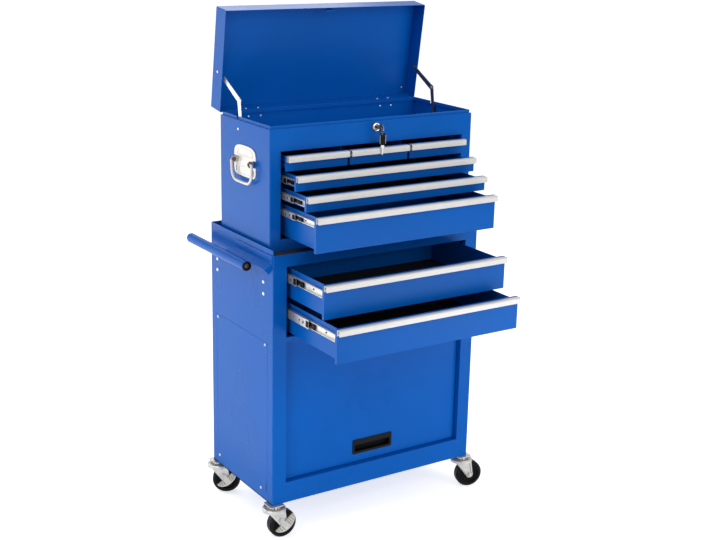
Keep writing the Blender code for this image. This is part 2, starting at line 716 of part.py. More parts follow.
def door(cart):
    """The lower door: a pan hung at its top edge, with a recessed black pull near its foot."""
    back = DOOR_FACE_Y + DOOR_PAN_DEPTH
    panel = solid(folded_box((-DOOR_HALF, DOOR_FACE_Y, DOOR_BOTTOM), (DOOR_HALF, back, DOOR_TOP),
                             FOLD_RADIUS, "x"))
    cut(panel, box_mesh(((-DOOR_HALF + SHEET, DOOR_FACE_Y + SHEET, DOOR_BOTTOM + SHEET),
                         (DOOR_HALF - SHEET, back + OVERRUN, DOOR_TOP - SHEET))))
    pull_low = DOOR_BOTTOM + PULL_FOOT
    cup_half = PULL_WIDTH / 2 - PULL_RIM
    cup_low = pull_low + PULL_RIM
    cup_high = pull_low + PULL_HEIGHT - PULL_RIM
    cut(panel, box_mesh(((-cup_half - SEAT_GAP, DOOR_FACE_Y - OVERRUN, cup_low - SEAT_GAP),
                         (cup_half + SEAT_GAP, DOOR_FACE_Y + SHEET + OVERRUN, cup_high + SEAT_GAP))))
    cut(panel, door_pin(-1, SEAT_GAP), door_pin(1, SEAT_GAP))
    axis = (0, DOOR_FACE_Y + DOOR_AXIS_INSET, DOOR_TOP - DOOR_AXIS_INSET)
    hung = finish(panel, "door", blue_paint(), axis, cart)

    bezel_back = DOOR_FACE_Y - SEAT_GAP
    pull = solid(folded_box((-PULL_WIDTH / 2, bezel_back - PULL_BEZEL, pull_low),
                            (PULL_WIDTH / 2, bezel_back, pull_low + PULL_HEIGHT), PULL_CORNER, "y"))
    join(pull, box_mesh(((-cup_half, bezel_back - EMBED, cup_low),
                         (cup_half, bezel_back + PULL_DEPTH, cup_high))))
    inside = cup_half - PULL_WALL
    cut(pull, box_mesh(((-inside, bezel_back - PULL_BEZEL - OVERRUN, cup_low + PULL_WALL),
                        (inside, bezel_back + PULL_DEPTH - PULL_WALL, cup_high - PULL_WALL - PULL_LIP))),
        box_mesh(((-inside, bezel_back + PULL_WALL, cup_low + PULL_WALL),
                  (inside, bezel_back + PULL_DEPTH - PULL_WALL, cup_high - PULL_WALL))))
    finish(pull, "door_pull", black_plastic(), axis)
    pull.location = (0, 0, 0)
    pull.parent = hung


def push_handle(cart):
    """A slanted bracket with a tube welded along its outer edge, and the tube's end caps."""
    wall = -BASE_HALF - SEAT_GAP
    top = BASE_TOP - HANDLE_TOP_DROP
    bend_z = top - HANDLE_FLANGE
    axis_x = wall - HANDLE_REACH
    axis_z = bend_z - HANDLE_DROP
    sheet = HANDLE_PLATE_SHEET
    run = Vector((wall - axis_x, bend_z - axis_z))
    slope = run.normalized()
    across = Vector((-slope.y, slope.x)) * sheet / 2
    edge = Vector((axis_x, axis_z)) + slope * (HANDLE_TUBE_RADIUS - HANDLE_TUBE_WALL / 3)
    outline = [(wall, top), (wall - sheet, top), (wall - sheet, bend_z), tuple(edge + across),
               tuple(edge - across), (wall, bend_z - sheet)]
    plate = solid(prism(outline, HANDLE_PLATE_FRONT, HANDLE_PLATE_REAR, "y"))
    centre = (axis_x, 0, axis_z)
    bore = HANDLE_TUBE_RADIUS - HANDLE_TUBE_WALL
    tube = [(bore, HANDLE_TUBE_FRONT), (HANDLE_TUBE_RADIUS, HANDLE_TUBE_FRONT),
            (HANDLE_TUBE_RADIUS, HANDLE_TUBE_REAR), (bore, HANDLE_TUBE_REAR)]
    join(plate, lathe(tube, ROUND_SIDES, "y", centre))
    finish(plate, "push_handle", blue_paint(), centre, cart, smooth_angle=30.0)

    plug = bore - SEAT_GAP
    rim = bore + HANDLE_TUBE_WALL / 3
    for name, end, way in (("handle_cap_front", HANDLE_TUBE_FRONT, -1),
                           ("handle_cap_rear", HANDLE_TUBE_REAR, 1)):
        seat = end + way * SEAT_GAP
        tip = seat - way * CAP_PLUG
        dome = seat + way * CAP_DOME
        outline = [(0, seat), (plug - CAP_WALL, seat), (plug - CAP_WALL, tip), (plug, tip), (plug, seat),
                   (rim, seat), (rim, seat + way * CAP_DOME / 2), (rim - CAP_DOME / 2, dome), (0, dome)]
        cap = solid(lathe(outline, ROUND_SIDES, "y", centre))
        finish(cap, name, black_plastic(), (axis_x, end, axis_z), cart)


def chest_slide_plane():
    return CHEST_FACE_HALF


def small_face_half():
    return (2 * CHEST_FACE_HALF - 2 * SMALL_FACE_GAP) / 6


def small_centres():
    pitch = 2 * small_face_half() + SMALL_FACE_GAP
    return (-pitch, 0.0, pitch)


def row_tops():
    """The faces' top edges: the row of small drawers first, then the full-width drawers."""
    first = CHEST_OPENING_TOP - CHEST_FIRST_ROW_GAP
    return [first - CHEST_ROW_PITCH * i for i in range(4)]


def small_slide_z():
    return row_tops()[0] - SMALL_FACE_HEIGHT / 2


def chest_shell(cart):
    """The top chest: a folded shell with a tray under the lid and drawer bays below it."""
    wall = CHEST_HALF - SHEET
    rim_out = CHEST_HALF - RIM_INSET
    rim_in = rim_out - SHEET
    shell = solid(folded_box((-CHEST_HALF, CHEST_FRONT, CHEST_BOTTOM),
                             (CHEST_HALF, CHEST_REAR, CHEST_LEDGE), FOLD_RADIUS))
    join(shell, folded_box((-rim_out, CHEST_FRONT + RIM_INSET, CHEST_LEDGE - EMBED),
                           (rim_out, CHEST_REAR - RIM_INSET, CHEST_RIM_TOP), FOLD_RADIUS))
    front, rear = CHEST_FRONT + SHEET, CHEST_REAR - SHEET
    cut(shell,
        box_mesh(((-wall, front, CHEST_BOTTOM + SHEET), (wall, rear, TRAY_FLOOR - SHEET))),
        box_mesh(((-wall, front, TRAY_FLOOR), (wall, rear, CHEST_LEDGE - SHEET))),
        box_mesh(((-rim_in, front + RIM_INSET, CHEST_LEDGE - SHEET - OVERRUN),
                  (rim_in, rear - RIM_INSET, CHEST_RIM_TOP + OVERRUN))),
        box_mesh(((-CHEST_OPENING_HALF, CHEST_FRONT - OVERRUN, CHEST_OPENING_BOTTOM),
                  (CHEST_OPENING_HALF, front + OVERRUN, CHEST_OPENING_TOP))))
    flange_front = front - EMBED
    join(shell, *return_flanges(CHEST_OPENING_HALF, CHEST_OPENING_BOTTOM, CHEST_OPENING_TOP,
                                flange_front, RETURN_FLANGE))
    plane = chest_slide_plane()
    slide_front = CHEST_FRONT + SLIDE_FRONT_GAP + RETURN_FLANGE
    slide_rear = slide_front + CHEST_SLIDE_LENGTH
    tops = row_tops()
    post_top = TRAY_FLOOR - SHEET - POST_END_GAP
    for side in (-1, 1):
        for post_front in (slide_front + CHEST_POST_WIDTH, slide_rear - CHEST_POST_WIDTH):
            join(shell, *support_post(side, wall, plane + SEAT_GAP, post_front,
                                      post_front + CHEST_POST_WIDTH, CHEST_BOTTOM + SHEET - EMBED,
                                      post_top))
        for top in tops[1:]:
            join(shell, slide_member(side, plane - SLIDE_THICKNESS, SLIDE_OUTER_START,
                                     SLIDE_THICKNESS + SEAT_GAP + EMBED, CHEST_SLIDE_HALF, True,
                                     top - CHEST_SLIDE_DROP, slide_front, slide_rear))
    half = small_face_half()
    divider_x = half + SMALL_FACE_GAP / 2
    divider_low = tops[0] - SMALL_FACE_HEIGHT
    for side in (-1, 1):
        centre = side * divider_x
        join(shell, box_mesh(((centre - SHEET / 2, slide_front, divider_low),
                              (centre + SHEET / 2, slide_rear, TRAY_FLOOR - SHEET + EMBED))))
    for centre in small_centres():
        for side in (-1, 1):
            edge = centre + side * half
            reach = half + SEAT_GAP + EMBED
            if abs(edge) < CHEST_FACE_HALF - SMALL_FACE_GAP:
                reach = half + SMALL_FACE_GAP / 2 - SHEET / 2 + EMBED
            start = SMALL_SLIDE_THICKNESS - SMALL_SLIDE_REACH
            outline = slide_profile(side, half - SMALL_SLIDE_THICKNESS, start,
                                    reach - half + SMALL_SLIDE_THICKNESS, SMALL_SLIDE_HALF, True)
            shifted = [(centre + x, small_slide_z() + z) for x, z in outline]
            join(shell, prism(shifted, slide_front, slide_rear, "y"))
    lock_z = CHEST_LEDGE - LOCK_DROP
    cut(shell, cylinder(LOCK_BARREL_RADIUS + SEAT_GAP, CHEST_FRONT - OVERRUN,
                        CHEST_FRONT + SHEET + OVERRUN, "y", (0, 0, lock_z)))
    stud_y = HINGE_Y - LID_STAY_REACH
    notch = STAY_RIVET_RADIUS + RIM_NOTCH_GAP
    notch_low = HINGE_Z + LID_STAY_RISE - STAY_RIVET_RADIUS - RUNNING_GAP
    for side in (-1, 1):
        span = sorted((side * (rim_in - OVERRUN), side * (rim_out + OVERRUN)))
        cut(shell, box_mesh(((span[0], stud_y - notch, notch_low),
                             (span[1], stud_y + notch, CHEST_RIM_TOP + OVERRUN))))
        join(shell, *hinge_leaf(side * HINGE_OFFSET, True))
    finish(shell, "chest_shell", blue_paint(), parent=cart)
    return shell


def hinge_leaf(centre_x, on_chest):
    """A hinge leaf on the chest's or the lid's rear wall, with its share of the knuckles.

    The lid's leaf is given with the lid closed.
    """
    left = centre_x - HINGE_LEAF_WIDTH / 2
    step = HINGE_LEAF_WIDTH / HINGE_KNUCKLES
    wall = CHEST_REAR - EMBED
    back = CHEST_REAR + HINGE_LEAF_SHEET
    shapes = []
    if on_chest:
        low, high = HINGE_Z - HINGE_LEAF_HEIGHT, HINGE_Z - HINGE_KNUCKLE_RADIUS - SEAT_GAP
    else:
        low, high = HINGE_Z + HINGE_KNUCKLE_RADIUS + SEAT_GAP, HINGE_Z + HINGE_LEAF_HEIGHT
    shapes.append(box_mesh(((left, wall, low), (left + HINGE_LEAF_WIDTH, back, high))))
    for i in range(HINGE_KNUCKLES):
        mine = (i % 2 == 0) == on_chest
        if not mine:
            continue
        start = left + step * i + (RUNNING_GAP if i else 0)
        end = left + step * (i + 1) - (RUNNING_GAP if i + 1 < HINGE_KNUCKLES else 0)
        shapes.append(cylinder(HINGE_KNUCKLE_RADIUS, start, end, "x", (0, HINGE_Y, HINGE_Z), 12))
        edge = high - EMBED if on_chest else low + EMBED
        z_low, z_high = sorted((edge, HINGE_Z))
        shapes.append(box_mesh(((start, CHEST_REAR + SEAT_GAP, z_low), (end, back, z_high))))
    if on_chest:
        shapes.append(cylinder(HINGE_PIN_RADIUS, left + EMBED, left + HINGE_LEAF_WIDTH - EMBED, "x",
                               (0, HINGE_Y, HINGE_Z), 10))
    return shapes


def chest_drawers(cart):
    """Three small drawers side by side, then three full-width drawers on telescopic slides."""
    tops = row_tops()
    half = small_face_half()
    face_y = CHEST_FRONT - SMALL_OPENING
    box_half = half - SMALL_SLIDE_THICKNESS
    channel_half = SMALL_SLIDE_HALF - SLIDE_SHEET - BALL_GAP
    for name, centre in zip(SMALL_NAMES, small_centres()):
        shape = drawer_shape(half, face_y, tops[0], SMALL_FACE_HEIGHT, box_half, CHEST_BOX_DEPTH,
                             centre)
        for side in (-1, 1):
            join(shape, slide_member(side, box_half, -EMBED, SMALL_SLIDE_REACH, channel_half, False,
                                     small_slide_z(), face_y + SLIDE_TONGUE,
                                     face_y + CHEST_BOX_DEPTH - SLIDE_TONGUE, centre))
        pivot = (centre, face_y, tops[0])
        drawer = finish(shape, name, blue_paint(), pivot, cart)
        trim = solid(trim_shape(half, face_y, tops[0], centre))
        finish(trim, name + "_trim", silver_trim(), pivot)
        trim.location = (0, 0, 0)
        trim.parent = drawer
    slide_front = CHEST_FRONT + SLIDE_FRONT_GAP + RETURN_FLANGE
    rows = zip(CHEST_ROW_NAMES, tops[1:], CHEST_FACE_HEIGHTS, CHEST_OPENINGS, CHEST_MIDDLE_SHARES)
    for name, top, height, out, share in rows:
        slide_drawer(cart, name, CHEST_FACE_HALF, CHEST_FRONT - out, top, height, CHEST_BOX_DEPTH,
                     CHEST_SLIDE_HALF, CHEST_SLIDE_DROP)
        slide_middles(cart, name, CHEST_FACE_HALF, CHEST_SLIDE_HALF, top - CHEST_SLIDE_DROP,
                      slide_front - out * share, CHEST_SLIDE_LENGTH)


def stay_plane():
    """The outer face of a lower stay link, clear of the chest's inset rim."""
    return CHEST_HALF - RIM_INSET - SHEET - STAY_SIDE_GAP


def lid_point(reach, rise):
    """A point of the lid's side wall with the lid open, reach forward of its axis and rise above."""
    turn = math.radians(LID_OPEN)
    y = HINGE_Y - reach * math.cos(turn) + rise * math.sin(turn)
    z = HINGE_Z + reach * math.sin(turn) + rise * math.cos(turn)
    return y, z


def lid(cart):
    """The lid: a shallow pan, shown open on its two hinges."""
    axis = (0, HINGE_Y, HINGE_Z)
    hinge_guide = guide("lid_axis", axis, cart)
    hinge_guide.rotation_euler = (math.radians(-LID_OPEN), 0, 0)
    top = LID_LIP_Z + LID_DEPTH
    pan = solid(folded_box((-CHEST_HALF, CHEST_FRONT, LID_LIP_Z), (CHEST_HALF, CHEST_REAR, top),
                           FOLD_RADIUS))
    cut(pan, box_mesh(((-CHEST_HALF + SHEET, CHEST_FRONT + SHEET, LID_LIP_Z - OVERRUN),
                       (CHEST_HALF - SHEET, CHEST_REAR - SHEET, top - SHEET))))
    for side in (-1, 1):
        join(pan, *hinge_leaf(side * HINGE_OFFSET, False))
        cut(pan, cylinder(HINGE_PIN_RADIUS + SEAT_GAP, side * HINGE_OFFSET - HINGE_LEAF_WIDTH,
                          side * HINGE_OFFSET + HINGE_LEAF_WIDTH, "x", (0, HINGE_Y, HINGE_Z), 10))
        wall = side * (CHEST_HALF - SHEET + EMBED)
        tip = side * (stay_plane() - STAY_SHEET + SEAT_GAP)
        low, high = sorted((wall, tip))
        join(pan, cylinder(STAY_RIVET_RADIUS, low, high, "x",
                           (0, HINGE_Y - LID_STAY_REACH, HINGE_Z + LID_STAY_RISE), 12))
    finish(pan, "lid", blue_paint(), axis)
    pan.location = (0, 0, 0)
    pan.parent = hinge_guide


def link_outline(length):
    """A flat bar with round ends, its first pivot at the origin and the second along +Y."""
    start = arc((0, 0), STAY_HALF_WIDTH, 90, 270, 6)
    end = arc((length, 0), STAY_HALF_WIDTH, -90, 90, 6)
    return start + end


def lid_stays(cart):
    """Two folding stays, each of a lower link on the chest and an upper link up to the lid."""
    chest_y = CHEST_FRONT + STAY_CHEST_SETBACK
    chest_z = CHEST_LEDGE - STAY_CHEST_DROP
    knee_y = CHEST_FRONT + STAY_KNEE_SETBACK
    knee_z = CHEST_LEDGE + STAY_KNEE_RISE
    lid_y, lid_z = lid_point(LID_STAY_REACH, LID_STAY_RISE)
    lower_length = math.hypot(knee_y - chest_y, knee_z - chest_z)
    upper_length = math.hypot(lid_y - knee_y, lid_z - knee_z)
    lower_turn = math.degrees(math.atan2(knee_z - chest_z, knee_y - chest_y))
    upper_turn = math.degrees(math.atan2(lid_z - knee_z, lid_y - knee_y))
    outer = stay_plane()
    middle = outer - STAY_SHEET
    wall = CHEST_HALF - SHEET - SEAT_GAP
    for side, hand in ((-1, "left"), (1, "right")):
        span = sorted((side * middle, side * outer))
        lower = solid(prism(link_outline(lower_length), span[0], span[1], "x"))
        studs = sorted((side * (outer - EMBED), side * wall))
        join(lower, cylinder(STAY_RIVET_RADIUS, studs[0], studs[1], "x", (0, 0, 0), 12))
        knee_inner = middle - SEAT_GAP - STAY_SHEET
        pin = sorted((side * (middle + EMBED), side * (knee_inner - SEAT_GAP)))
        join(lower, cylinder(STAY_PIN_RADIUS, pin[0], pin[1], "x", (0, lower_length, 0), 12))
        piece = finish(lower, "lid_stay_lower_" + hand, zinc(), (0, 0, 0), cart, lower_turn)
        piece.location = (0, chest_y, chest_z)

        span = sorted((side * knee_inner, side * (middle - SEAT_GAP)))
        upper = solid(prism(link_outline(upper_length), span[0], span[1], "x"))
        hole_ends = sorted((side * (knee_inner - OVERRUN), side * (middle + OVERRUN)))
        cut(upper, cylinder(STAY_PIN_RADIUS + SEAT_GAP, hole_ends[0], hole_ends[1], "x",
                            (0, 0, 0), 12))
        piece = finish(upper, "lid_stay_upper_" + hand, zinc(), (0, 0, 0), cart, upper_turn)
        piece.location = (0, knee_y, knee_z)


def key_outline(blade_length):
    """A key's flat outline: a round bow and a blade that runs along +Y from it."""
    shoulder = math.degrees(math.asin(KEY_BLADE_HALF / KEY_BOW_RADIUS))
    bow = arc((0, 0), KEY_BOW_RADIUS, shoulder, 360 - shoulder, 14)
    tip = KEY_BOW_RADIUS + blade_length
    return bow + [(tip - KEY_BLADE_HALF, -KEY_BLADE_HALF), (tip, 0),
                  (tip - KEY_BLADE_HALF, KEY_BLADE_HALF)]


def lock_and_key(cart):
    """The front lock with its key in place."""
    lock_z = CHEST_LEDGE - LOCK_DROP
    face = CHEST_FRONT - SEAT_GAP
    head = face - LOCK_HEAD_HEIGHT
    back = CHEST_FRONT + SHEET + LOCK_BARREL_LENGTH
    rim_drop = LOCK_HEAD_HEIGHT / 3
    keyway = head + rim_drop
    profile = [(0, keyway), (LOCK_PLUG_RADIUS, keyway), (LOCK_PLUG_RADIUS + rim_drop, head),
               (LOCK_HEAD_RADIUS - rim_drop, head), (LOCK_HEAD_RADIUS, head + rim_drop),
               (LOCK_HEAD_RADIUS, face), (LOCK_BARREL_RADIUS, face), (LOCK_BARREL_RADIUS, back),
               (0, back)]
    lock = solid(lathe(profile, ROUND_SIDES, "y", (0, 0, lock_z)))
    tip = head - RUNNING_GAP + KEY_BLADE_LENGTH / 2
    reach = math.hypot(KEY_SHEET / 2, KEY_BLADE_HALF) + SEAT_GAP
    cut(lock, cylinder(reach, head - OVERRUN, tip + RUNNING_GAP, "y", (0, 0, lock_z), 12))
    axis = (0, head, lock_z)
    finish(lock, "lid_lock", chrome(), axis, cart)

    bow_y = tip - KEY_BLADE_LENGTH - KEY_BOW_RADIUS
    outline = [(bow_y + y, lock_z + z) for y, z in key_outline(KEY_BLADE_LENGTH)]
    key = solid(prism(outline, -KEY_SHEET / 2, KEY_SHEET / 2, "x"))
    hole_y = bow_y - KEY_HOLE_INSET
    cut(key, cylinder(KEY_HOLE_RADIUS, -KEY_SHEET, KEY_SHEET, "x", (0, hole_y, lock_z), 12))
    finish(key, "key", zinc(), axis, cart)


def carry_handles(cart):
    """A pressed plate and a hanging bail on each side of the chest."""
    centre_y = CHEST_FRONT + CHEST_DEPTH * BAIL_CENTRE_SHARE
    axis_z = CHEST_LEDGE - BAIL_AXIS_DROP
    wall = CHEST_HALF + SEAT_GAP
    axis_x = wall + BAIL_PLATE_SHEET + BAIL_AXIS_REACH
    for side, hand in ((-1, "left"), (1, "right")):
        plate_outline = [(centre_y - BAIL_PLATE_HALF, axis_z - BAIL_EAR_HALF),
                         (centre_y - BAIL_PLATE_HALF * BAIL_PLATE_FOOT_SHARE, axis_z - BAIL_PLATE_FALL),
                         (centre_y + BAIL_PLATE_HALF * BAIL_PLATE_FOOT_SHARE, axis_z - BAIL_PLATE_FALL),
                         (centre_y + BAIL_PLATE_HALF, axis_z - BAIL_EAR_HALF),
                         (centre_y + BAIL_PLATE_HALF, axis_z + BAIL_EAR_HALF)]
        for i in range(1, 8):
            turn = math.pi * i / 8
            plate_outline.append((centre_y + BAIL_PLATE_HALF * math.cos(turn),
                                  axis_z + BAIL_EAR_HALF
                                  + (BAIL_PLATE_RISE - BAIL_EAR_HALF) * math.sin(turn)))
        plate_outline.append((centre_y - BAIL_PLATE_HALF, axis_z + BAIL_EAR_HALF))
        span = sorted((side * wall, side * (wall + BAIL_PLATE_SHEET)))
        plate = solid(prism(plate_outline, span[0], span[1], "x"))
        reach = sorted((side * (wall + BAIL_PLATE_SHEET - EMBED),
                        side * (wall + BAIL_PLATE_SHEET + BAIL_EAR_REACH)))
        for end in (-1, 1):
            ear = sorted((centre_y + end * (BAIL_PLATE_HALF - EMBED),
                          centre_y + end * (BAIL_PLATE_HALF - EMBED - BAIL_PLATE_SHEET)))
            join(plate, box_mesh(((reach[0], ear[0], axis_z - BAIL_EAR_HALF),
                                  (reach[1], ear[1], axis_z + BAIL_EAR_HALF))))
        hole = BAIL_WIRE + SEAT_GAP
        cut(plate, cylinder(hole, centre_y - BAIL_HALF, centre_y + BAIL_HALF, "y",
                            (side * axis_x, 0, axis_z), 12))
        finish(plate, "handle_plate_" + hand, chrome(), (side * axis_x, centre_y, axis_z), cart)

        tail = BAIL_PLATE_HALF - BAIL_PLATE_SHEET - BAIL_TAIL
        corner = BAIL_CORNER
        bend = BAIL_WIRE * 2
        path = [(tail, 0.0)]
        path += arc((BAIL_HALF - bend, -bend), bend, 90, 0, 3)
        path += arc((BAIL_HALF - corner, -BAIL_FALL + corner), corner, 0, -90, 4)
        other = [(-y, z) for y, z in reversed(path)]
        points = [(side * axis_x, centre_y + y, axis_z + z) for y, z in path + other]
        bail = solid(sweep(points, BAIL_WIRE, 10))
        finish(bail, "bail_handle_" + hand, chrome(), (side * axis_x, centre_y, axis_z), cart)


def castor(cart, place, x, y, turn, braked):
    """A swivelling castor: plate and race, fork, wheel and, where it is braked, a pedal."""
    plate_top = BASE_BOTTOM - SEAT_GAP
    plate_bottom = plate_top - CASTOR_PLATE_SHEET
    race_bottom = plate_bottom - RACE_HEIGHT
    half = CASTOR_PLATE_SIZE / 2
    axle_z = WHEEL_CENTRE_Z
    plate = solid(folded_box((-half, -half, plate_bottom), (half, half, plate_top), FOLD_RADIUS * 2))
    head_z = CROWN_HEIGHT - SEAT_GAP
    profile = [(0, plate_bottom + EMBED), (RACE_RADIUS, plate_bottom + EMBED),
               (RACE_RADIUS, plate_bottom - RACE_WAIST),
               (RACE_RADIUS - RACE_WAIST, plate_bottom - 2 * RACE_WAIST),
               (RACE_RADIUS, race_bottom + RACE_WAIST), (RACE_RADIUS, race_bottom),
               (KINGPIN_RADIUS, race_bottom), (KINGPIN_RADIUS, head_z),
               (KINGPIN_HEAD_RADIUS, head_z), (KINGPIN_HEAD_RADIUS, head_z - FORK_SHEET),
               (0, head_z - FORK_SHEET)]
    join(plate, lathe(profile))
    swivel = guide("castor_" + place, (x, y, 0), cart)
    fixed = finish(plate, "castor_plate_" + place, zinc(), (0, 0, plate_top))
    fixed.location = (x, y, plate_top)
    fixed.parent = cart
    swivel.rotation_euler = (0, 0, math.radians(turn))

    lip_z = CROWN_TOP - CROWN_LIP
    crown = [(KINGPIN_RADIUS + RUNNING_GAP, CROWN_TOP), (CROWN_RADIUS - FORK_SHEET, CROWN_TOP),
             (CROWN_RADIUS, CROWN_TOP - FORK_SHEET), (CROWN_RADIUS, lip_z),
             (CROWN_RADIUS - FORK_SHEET, lip_z), (CROWN_RADIUS - FORK_SHEET, CROWN_HEIGHT - FORK_SHEET / 2),
             (CROWN_RADIUS - FORK_SHEET * 2, CROWN_HEIGHT), (KINGPIN_RADIUS + RUNNING_GAP, CROWN_HEIGHT)]
    fork = solid(lathe(crown))
    inner = WHEEL_WIDTH / 2 + FORK_SIDE_GAP
    leg_top = CROWN_HEIGHT + EMBED
    lean = FORK_TOP_WIDTH / 2
    centre_u = CASTOR_TRAIL
    leg = [(-lean, leg_top), (-lean, leg_top - FORK_SHEET)]
    leg += arc((centre_u, axle_z), FORK_TIP_RADIUS, 200, 350, 6)
    leg += [(lean, leg_top - FORK_SHEET * 2), (lean, leg_top)]
    for side in (-1, 1):
        span = sorted((side * inner, side * (inner + FORK_SHEET)))
        join(fork, prism(leg, span[0], span[1], "y"))
    grip = inner + FORK_SHEET + AXLE_HEAD_HEIGHT
    head = [(0, -grip), (AXLE_HEAD_RADIUS, -grip), (AXLE_HEAD_RADIUS, -inner - FORK_SHEET + EMBED),
            (AXLE_RADIUS, -inner - FORK_SHEET + EMBED), (AXLE_RADIUS, inner + FORK_SHEET - EMBED),
            (AXLE_HEAD_RADIUS, inner + FORK_SHEET - EMBED), (AXLE_HEAD_RADIUS, grip), (0, grip)]
    join(fork, lathe(head, 12, "y", (centre_u, 0, axle_z)))
    if braked:
        pin_u, pin_z = pedal_pin()
        seat = -inner - FORK_SHEET
        cap = seat - PEDAL_SHEET - 2 * SEAT_GAP
        pin = [(0, seat + EMBED), (PEDAL_PIN_RADIUS, seat + EMBED), (PEDAL_PIN_RADIUS, cap),
               (PEDAL_PIN_HEAD_RADIUS, cap), (PEDAL_PIN_HEAD_RADIUS, cap - PEDAL_PIN_HEAD),
               (0, cap - PEDAL_PIN_HEAD)]
        join(fork, lathe(pin, 12, "y", (pin_u, 0, pin_z)))
    turned = finish(fork, "castor_fork_" + place, zinc(), (0, 0, CROWN_HEIGHT))
    turned.location = (0, 0, CROWN_HEIGHT)
    turned.parent = swivel

    width = WHEEL_WIDTH / 2
    bore = AXLE_RADIUS + RUNNING_GAP
    face = width - HUB_RECESS
    side_profile = [(bore, width), (HUB_RADIUS, width), (HUB_RADIUS, face), (RIM_RADIUS, face),
                    (RIM_RADIUS, width), (WHEEL_RADIUS - WHEEL_SHOULDER, width),
                    (WHEEL_RADIUS, width - WHEEL_SHOULDER)]
    profile = side_profile + [(r, -h) for r, h in reversed(side_profile)]
    wheel = solid(lathe(profile, WHEEL_SIDES, "y", (centre_u, 0, axle_z)))
    rolling = finish(wheel, "castor_wheel_" + place, black_rubber(), (centre_u, 0, axle_z))
    rolling.parent = swivel
    if braked:
        brake_pedal(swivel, place, inner + FORK_SHEET)


def pedal_pin():
    """The pedal's pivot on the fork's leg, as its distances along and above the axle."""
    slope = math.radians(PEDAL_SLOPE)
    u = CASTOR_TRAIL + PEDAL_PIN_ALONG * math.cos(slope) - PEDAL_PIN_RISE * math.sin(slope)
    z = WHEEL_CENTRE_Z + PEDAL_PIN_ALONG * math.sin(slope) + PEDAL_PIN_RISE * math.cos(slope)
    return u, z


def brake_pedal(swivel, place, leg_outer):
    """A half-moon foot lever that flares out beside the wheel, pinned to the fork's near leg."""
    slope = math.radians(PEDAL_SLOPE)
    placed = Matrix(((math.cos(slope), -math.sin(slope), 0, CASTOR_TRAIL),
                     (0, 0, -1, -leg_outer - SEAT_GAP),
                     (math.sin(slope), math.cos(slope), 0, WHEEL_CENTRE_Z),
                     (0, 0, 0, 1)))
    low = PEDAL_CHORD_RISE - PEDAL_SHEET / 2
    tab = [(PEDAL_PIN_ALONG - PEDAL_TAB_HALF, low), (PEDAL_PIN_ALONG + PEDAL_TAB_HALF, low)]
    tab += arc((PEDAL_PIN_ALONG, PEDAL_PIN_RISE), PEDAL_TAB_HALF, 0, 180, 8)
    shape = prism(tab, 0, PEDAL_SHEET, "z")
    bmesh.ops.transform(shape, matrix=placed, verts=shape.verts)
    pedal = solid(shape)
    half = (PEDAL_CHORD_END - PEDAL_CHORD_START) / 2
    middle = (PEDAL_CHORD_END + PEDAL_CHORD_START) / 2
    moon = [(middle + half * math.cos(math.pi * i / 14), -PEDAL_TREAD * math.sin(math.pi * i / 14))
            for i in range(15)]
    tread = prism(moon, 0, PEDAL_SHEET, "z")
    flare = Matrix.Translation((0, PEDAL_CHORD_RISE, 0)) @ Matrix.Rotation(
        math.radians(-PEDAL_FLARE), 4, "X")
    bmesh.ops.transform(tread, matrix=placed @ flare, verts=tread.verts)
    join(pedal, tread)
    pin_u, pin_z = pedal_pin()
    cut(pedal, cylinder(PEDAL_PIN_RADIUS + SEAT_GAP, -leg_outer - OVERRUN, -leg_outer, "y",
                        (pin_u, 0, pin_z), 12))
    pedal = finish(pedal, "brake_pedal_" + place, zinc(), (pin_u, 0, pin_z))
    pedal.parent = swivel


def castors(cart):
    """Four castors near the corners; the left pair has brakes."""
    x = BASE_HALF - CASTOR_INSET
    y = BASE_REAR - CASTOR_INSET
    corners = {"front_left": (-x, -y), "front_right": (x, -y), "rear_left": (-x, y), "rear_right": (x, y)}
    for place, (corner_x, corner_y) in corners.items():
        castor(cart, place, corner_x, corner_y, CASTOR_TURNS[place], place.endswith("left"))


def stand_on_origin(cart):
    """Moves the whole part so that the middle of its footprint is the origin."""
    bpy.context.view_layer.update()
    corners = [piece.matrix_world @ vertex.co for piece in bpy.data.objects if piece.type == "MESH"
               for vertex in piece.data.vertices]
    for axis in (0, 1):
        spread = [corner[axis] for corner in corners]
        cart.location[axis] = -(min(spread) + max(spread)) / 2


def main():
    for old in list(bpy.data.objects):
        bpy.data.objects.remove(old)
    cart = guide("cart")
    base_shell(cart)
    top_mat(cart)
    base_drawers(cart)
    door(cart)
    push_handle(cart)
    chest_shell(cart)
    chest_drawers(cart)
    lid(cart)
    lid_stays(cart)
    lock_and_key(cart)
    carry_handles(cart)
    castors(cart)
    stand_on_origin(cart)


main()
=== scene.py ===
"""Looks of the two-tier tool cart: materials, small fittings, liners, floor, light and camera."""

import json
from collections import namedtuple
from math import copysign, cos, pi, radians, sin, sqrt

import bmesh
import bpy
from mathutils import Matrix, Vector


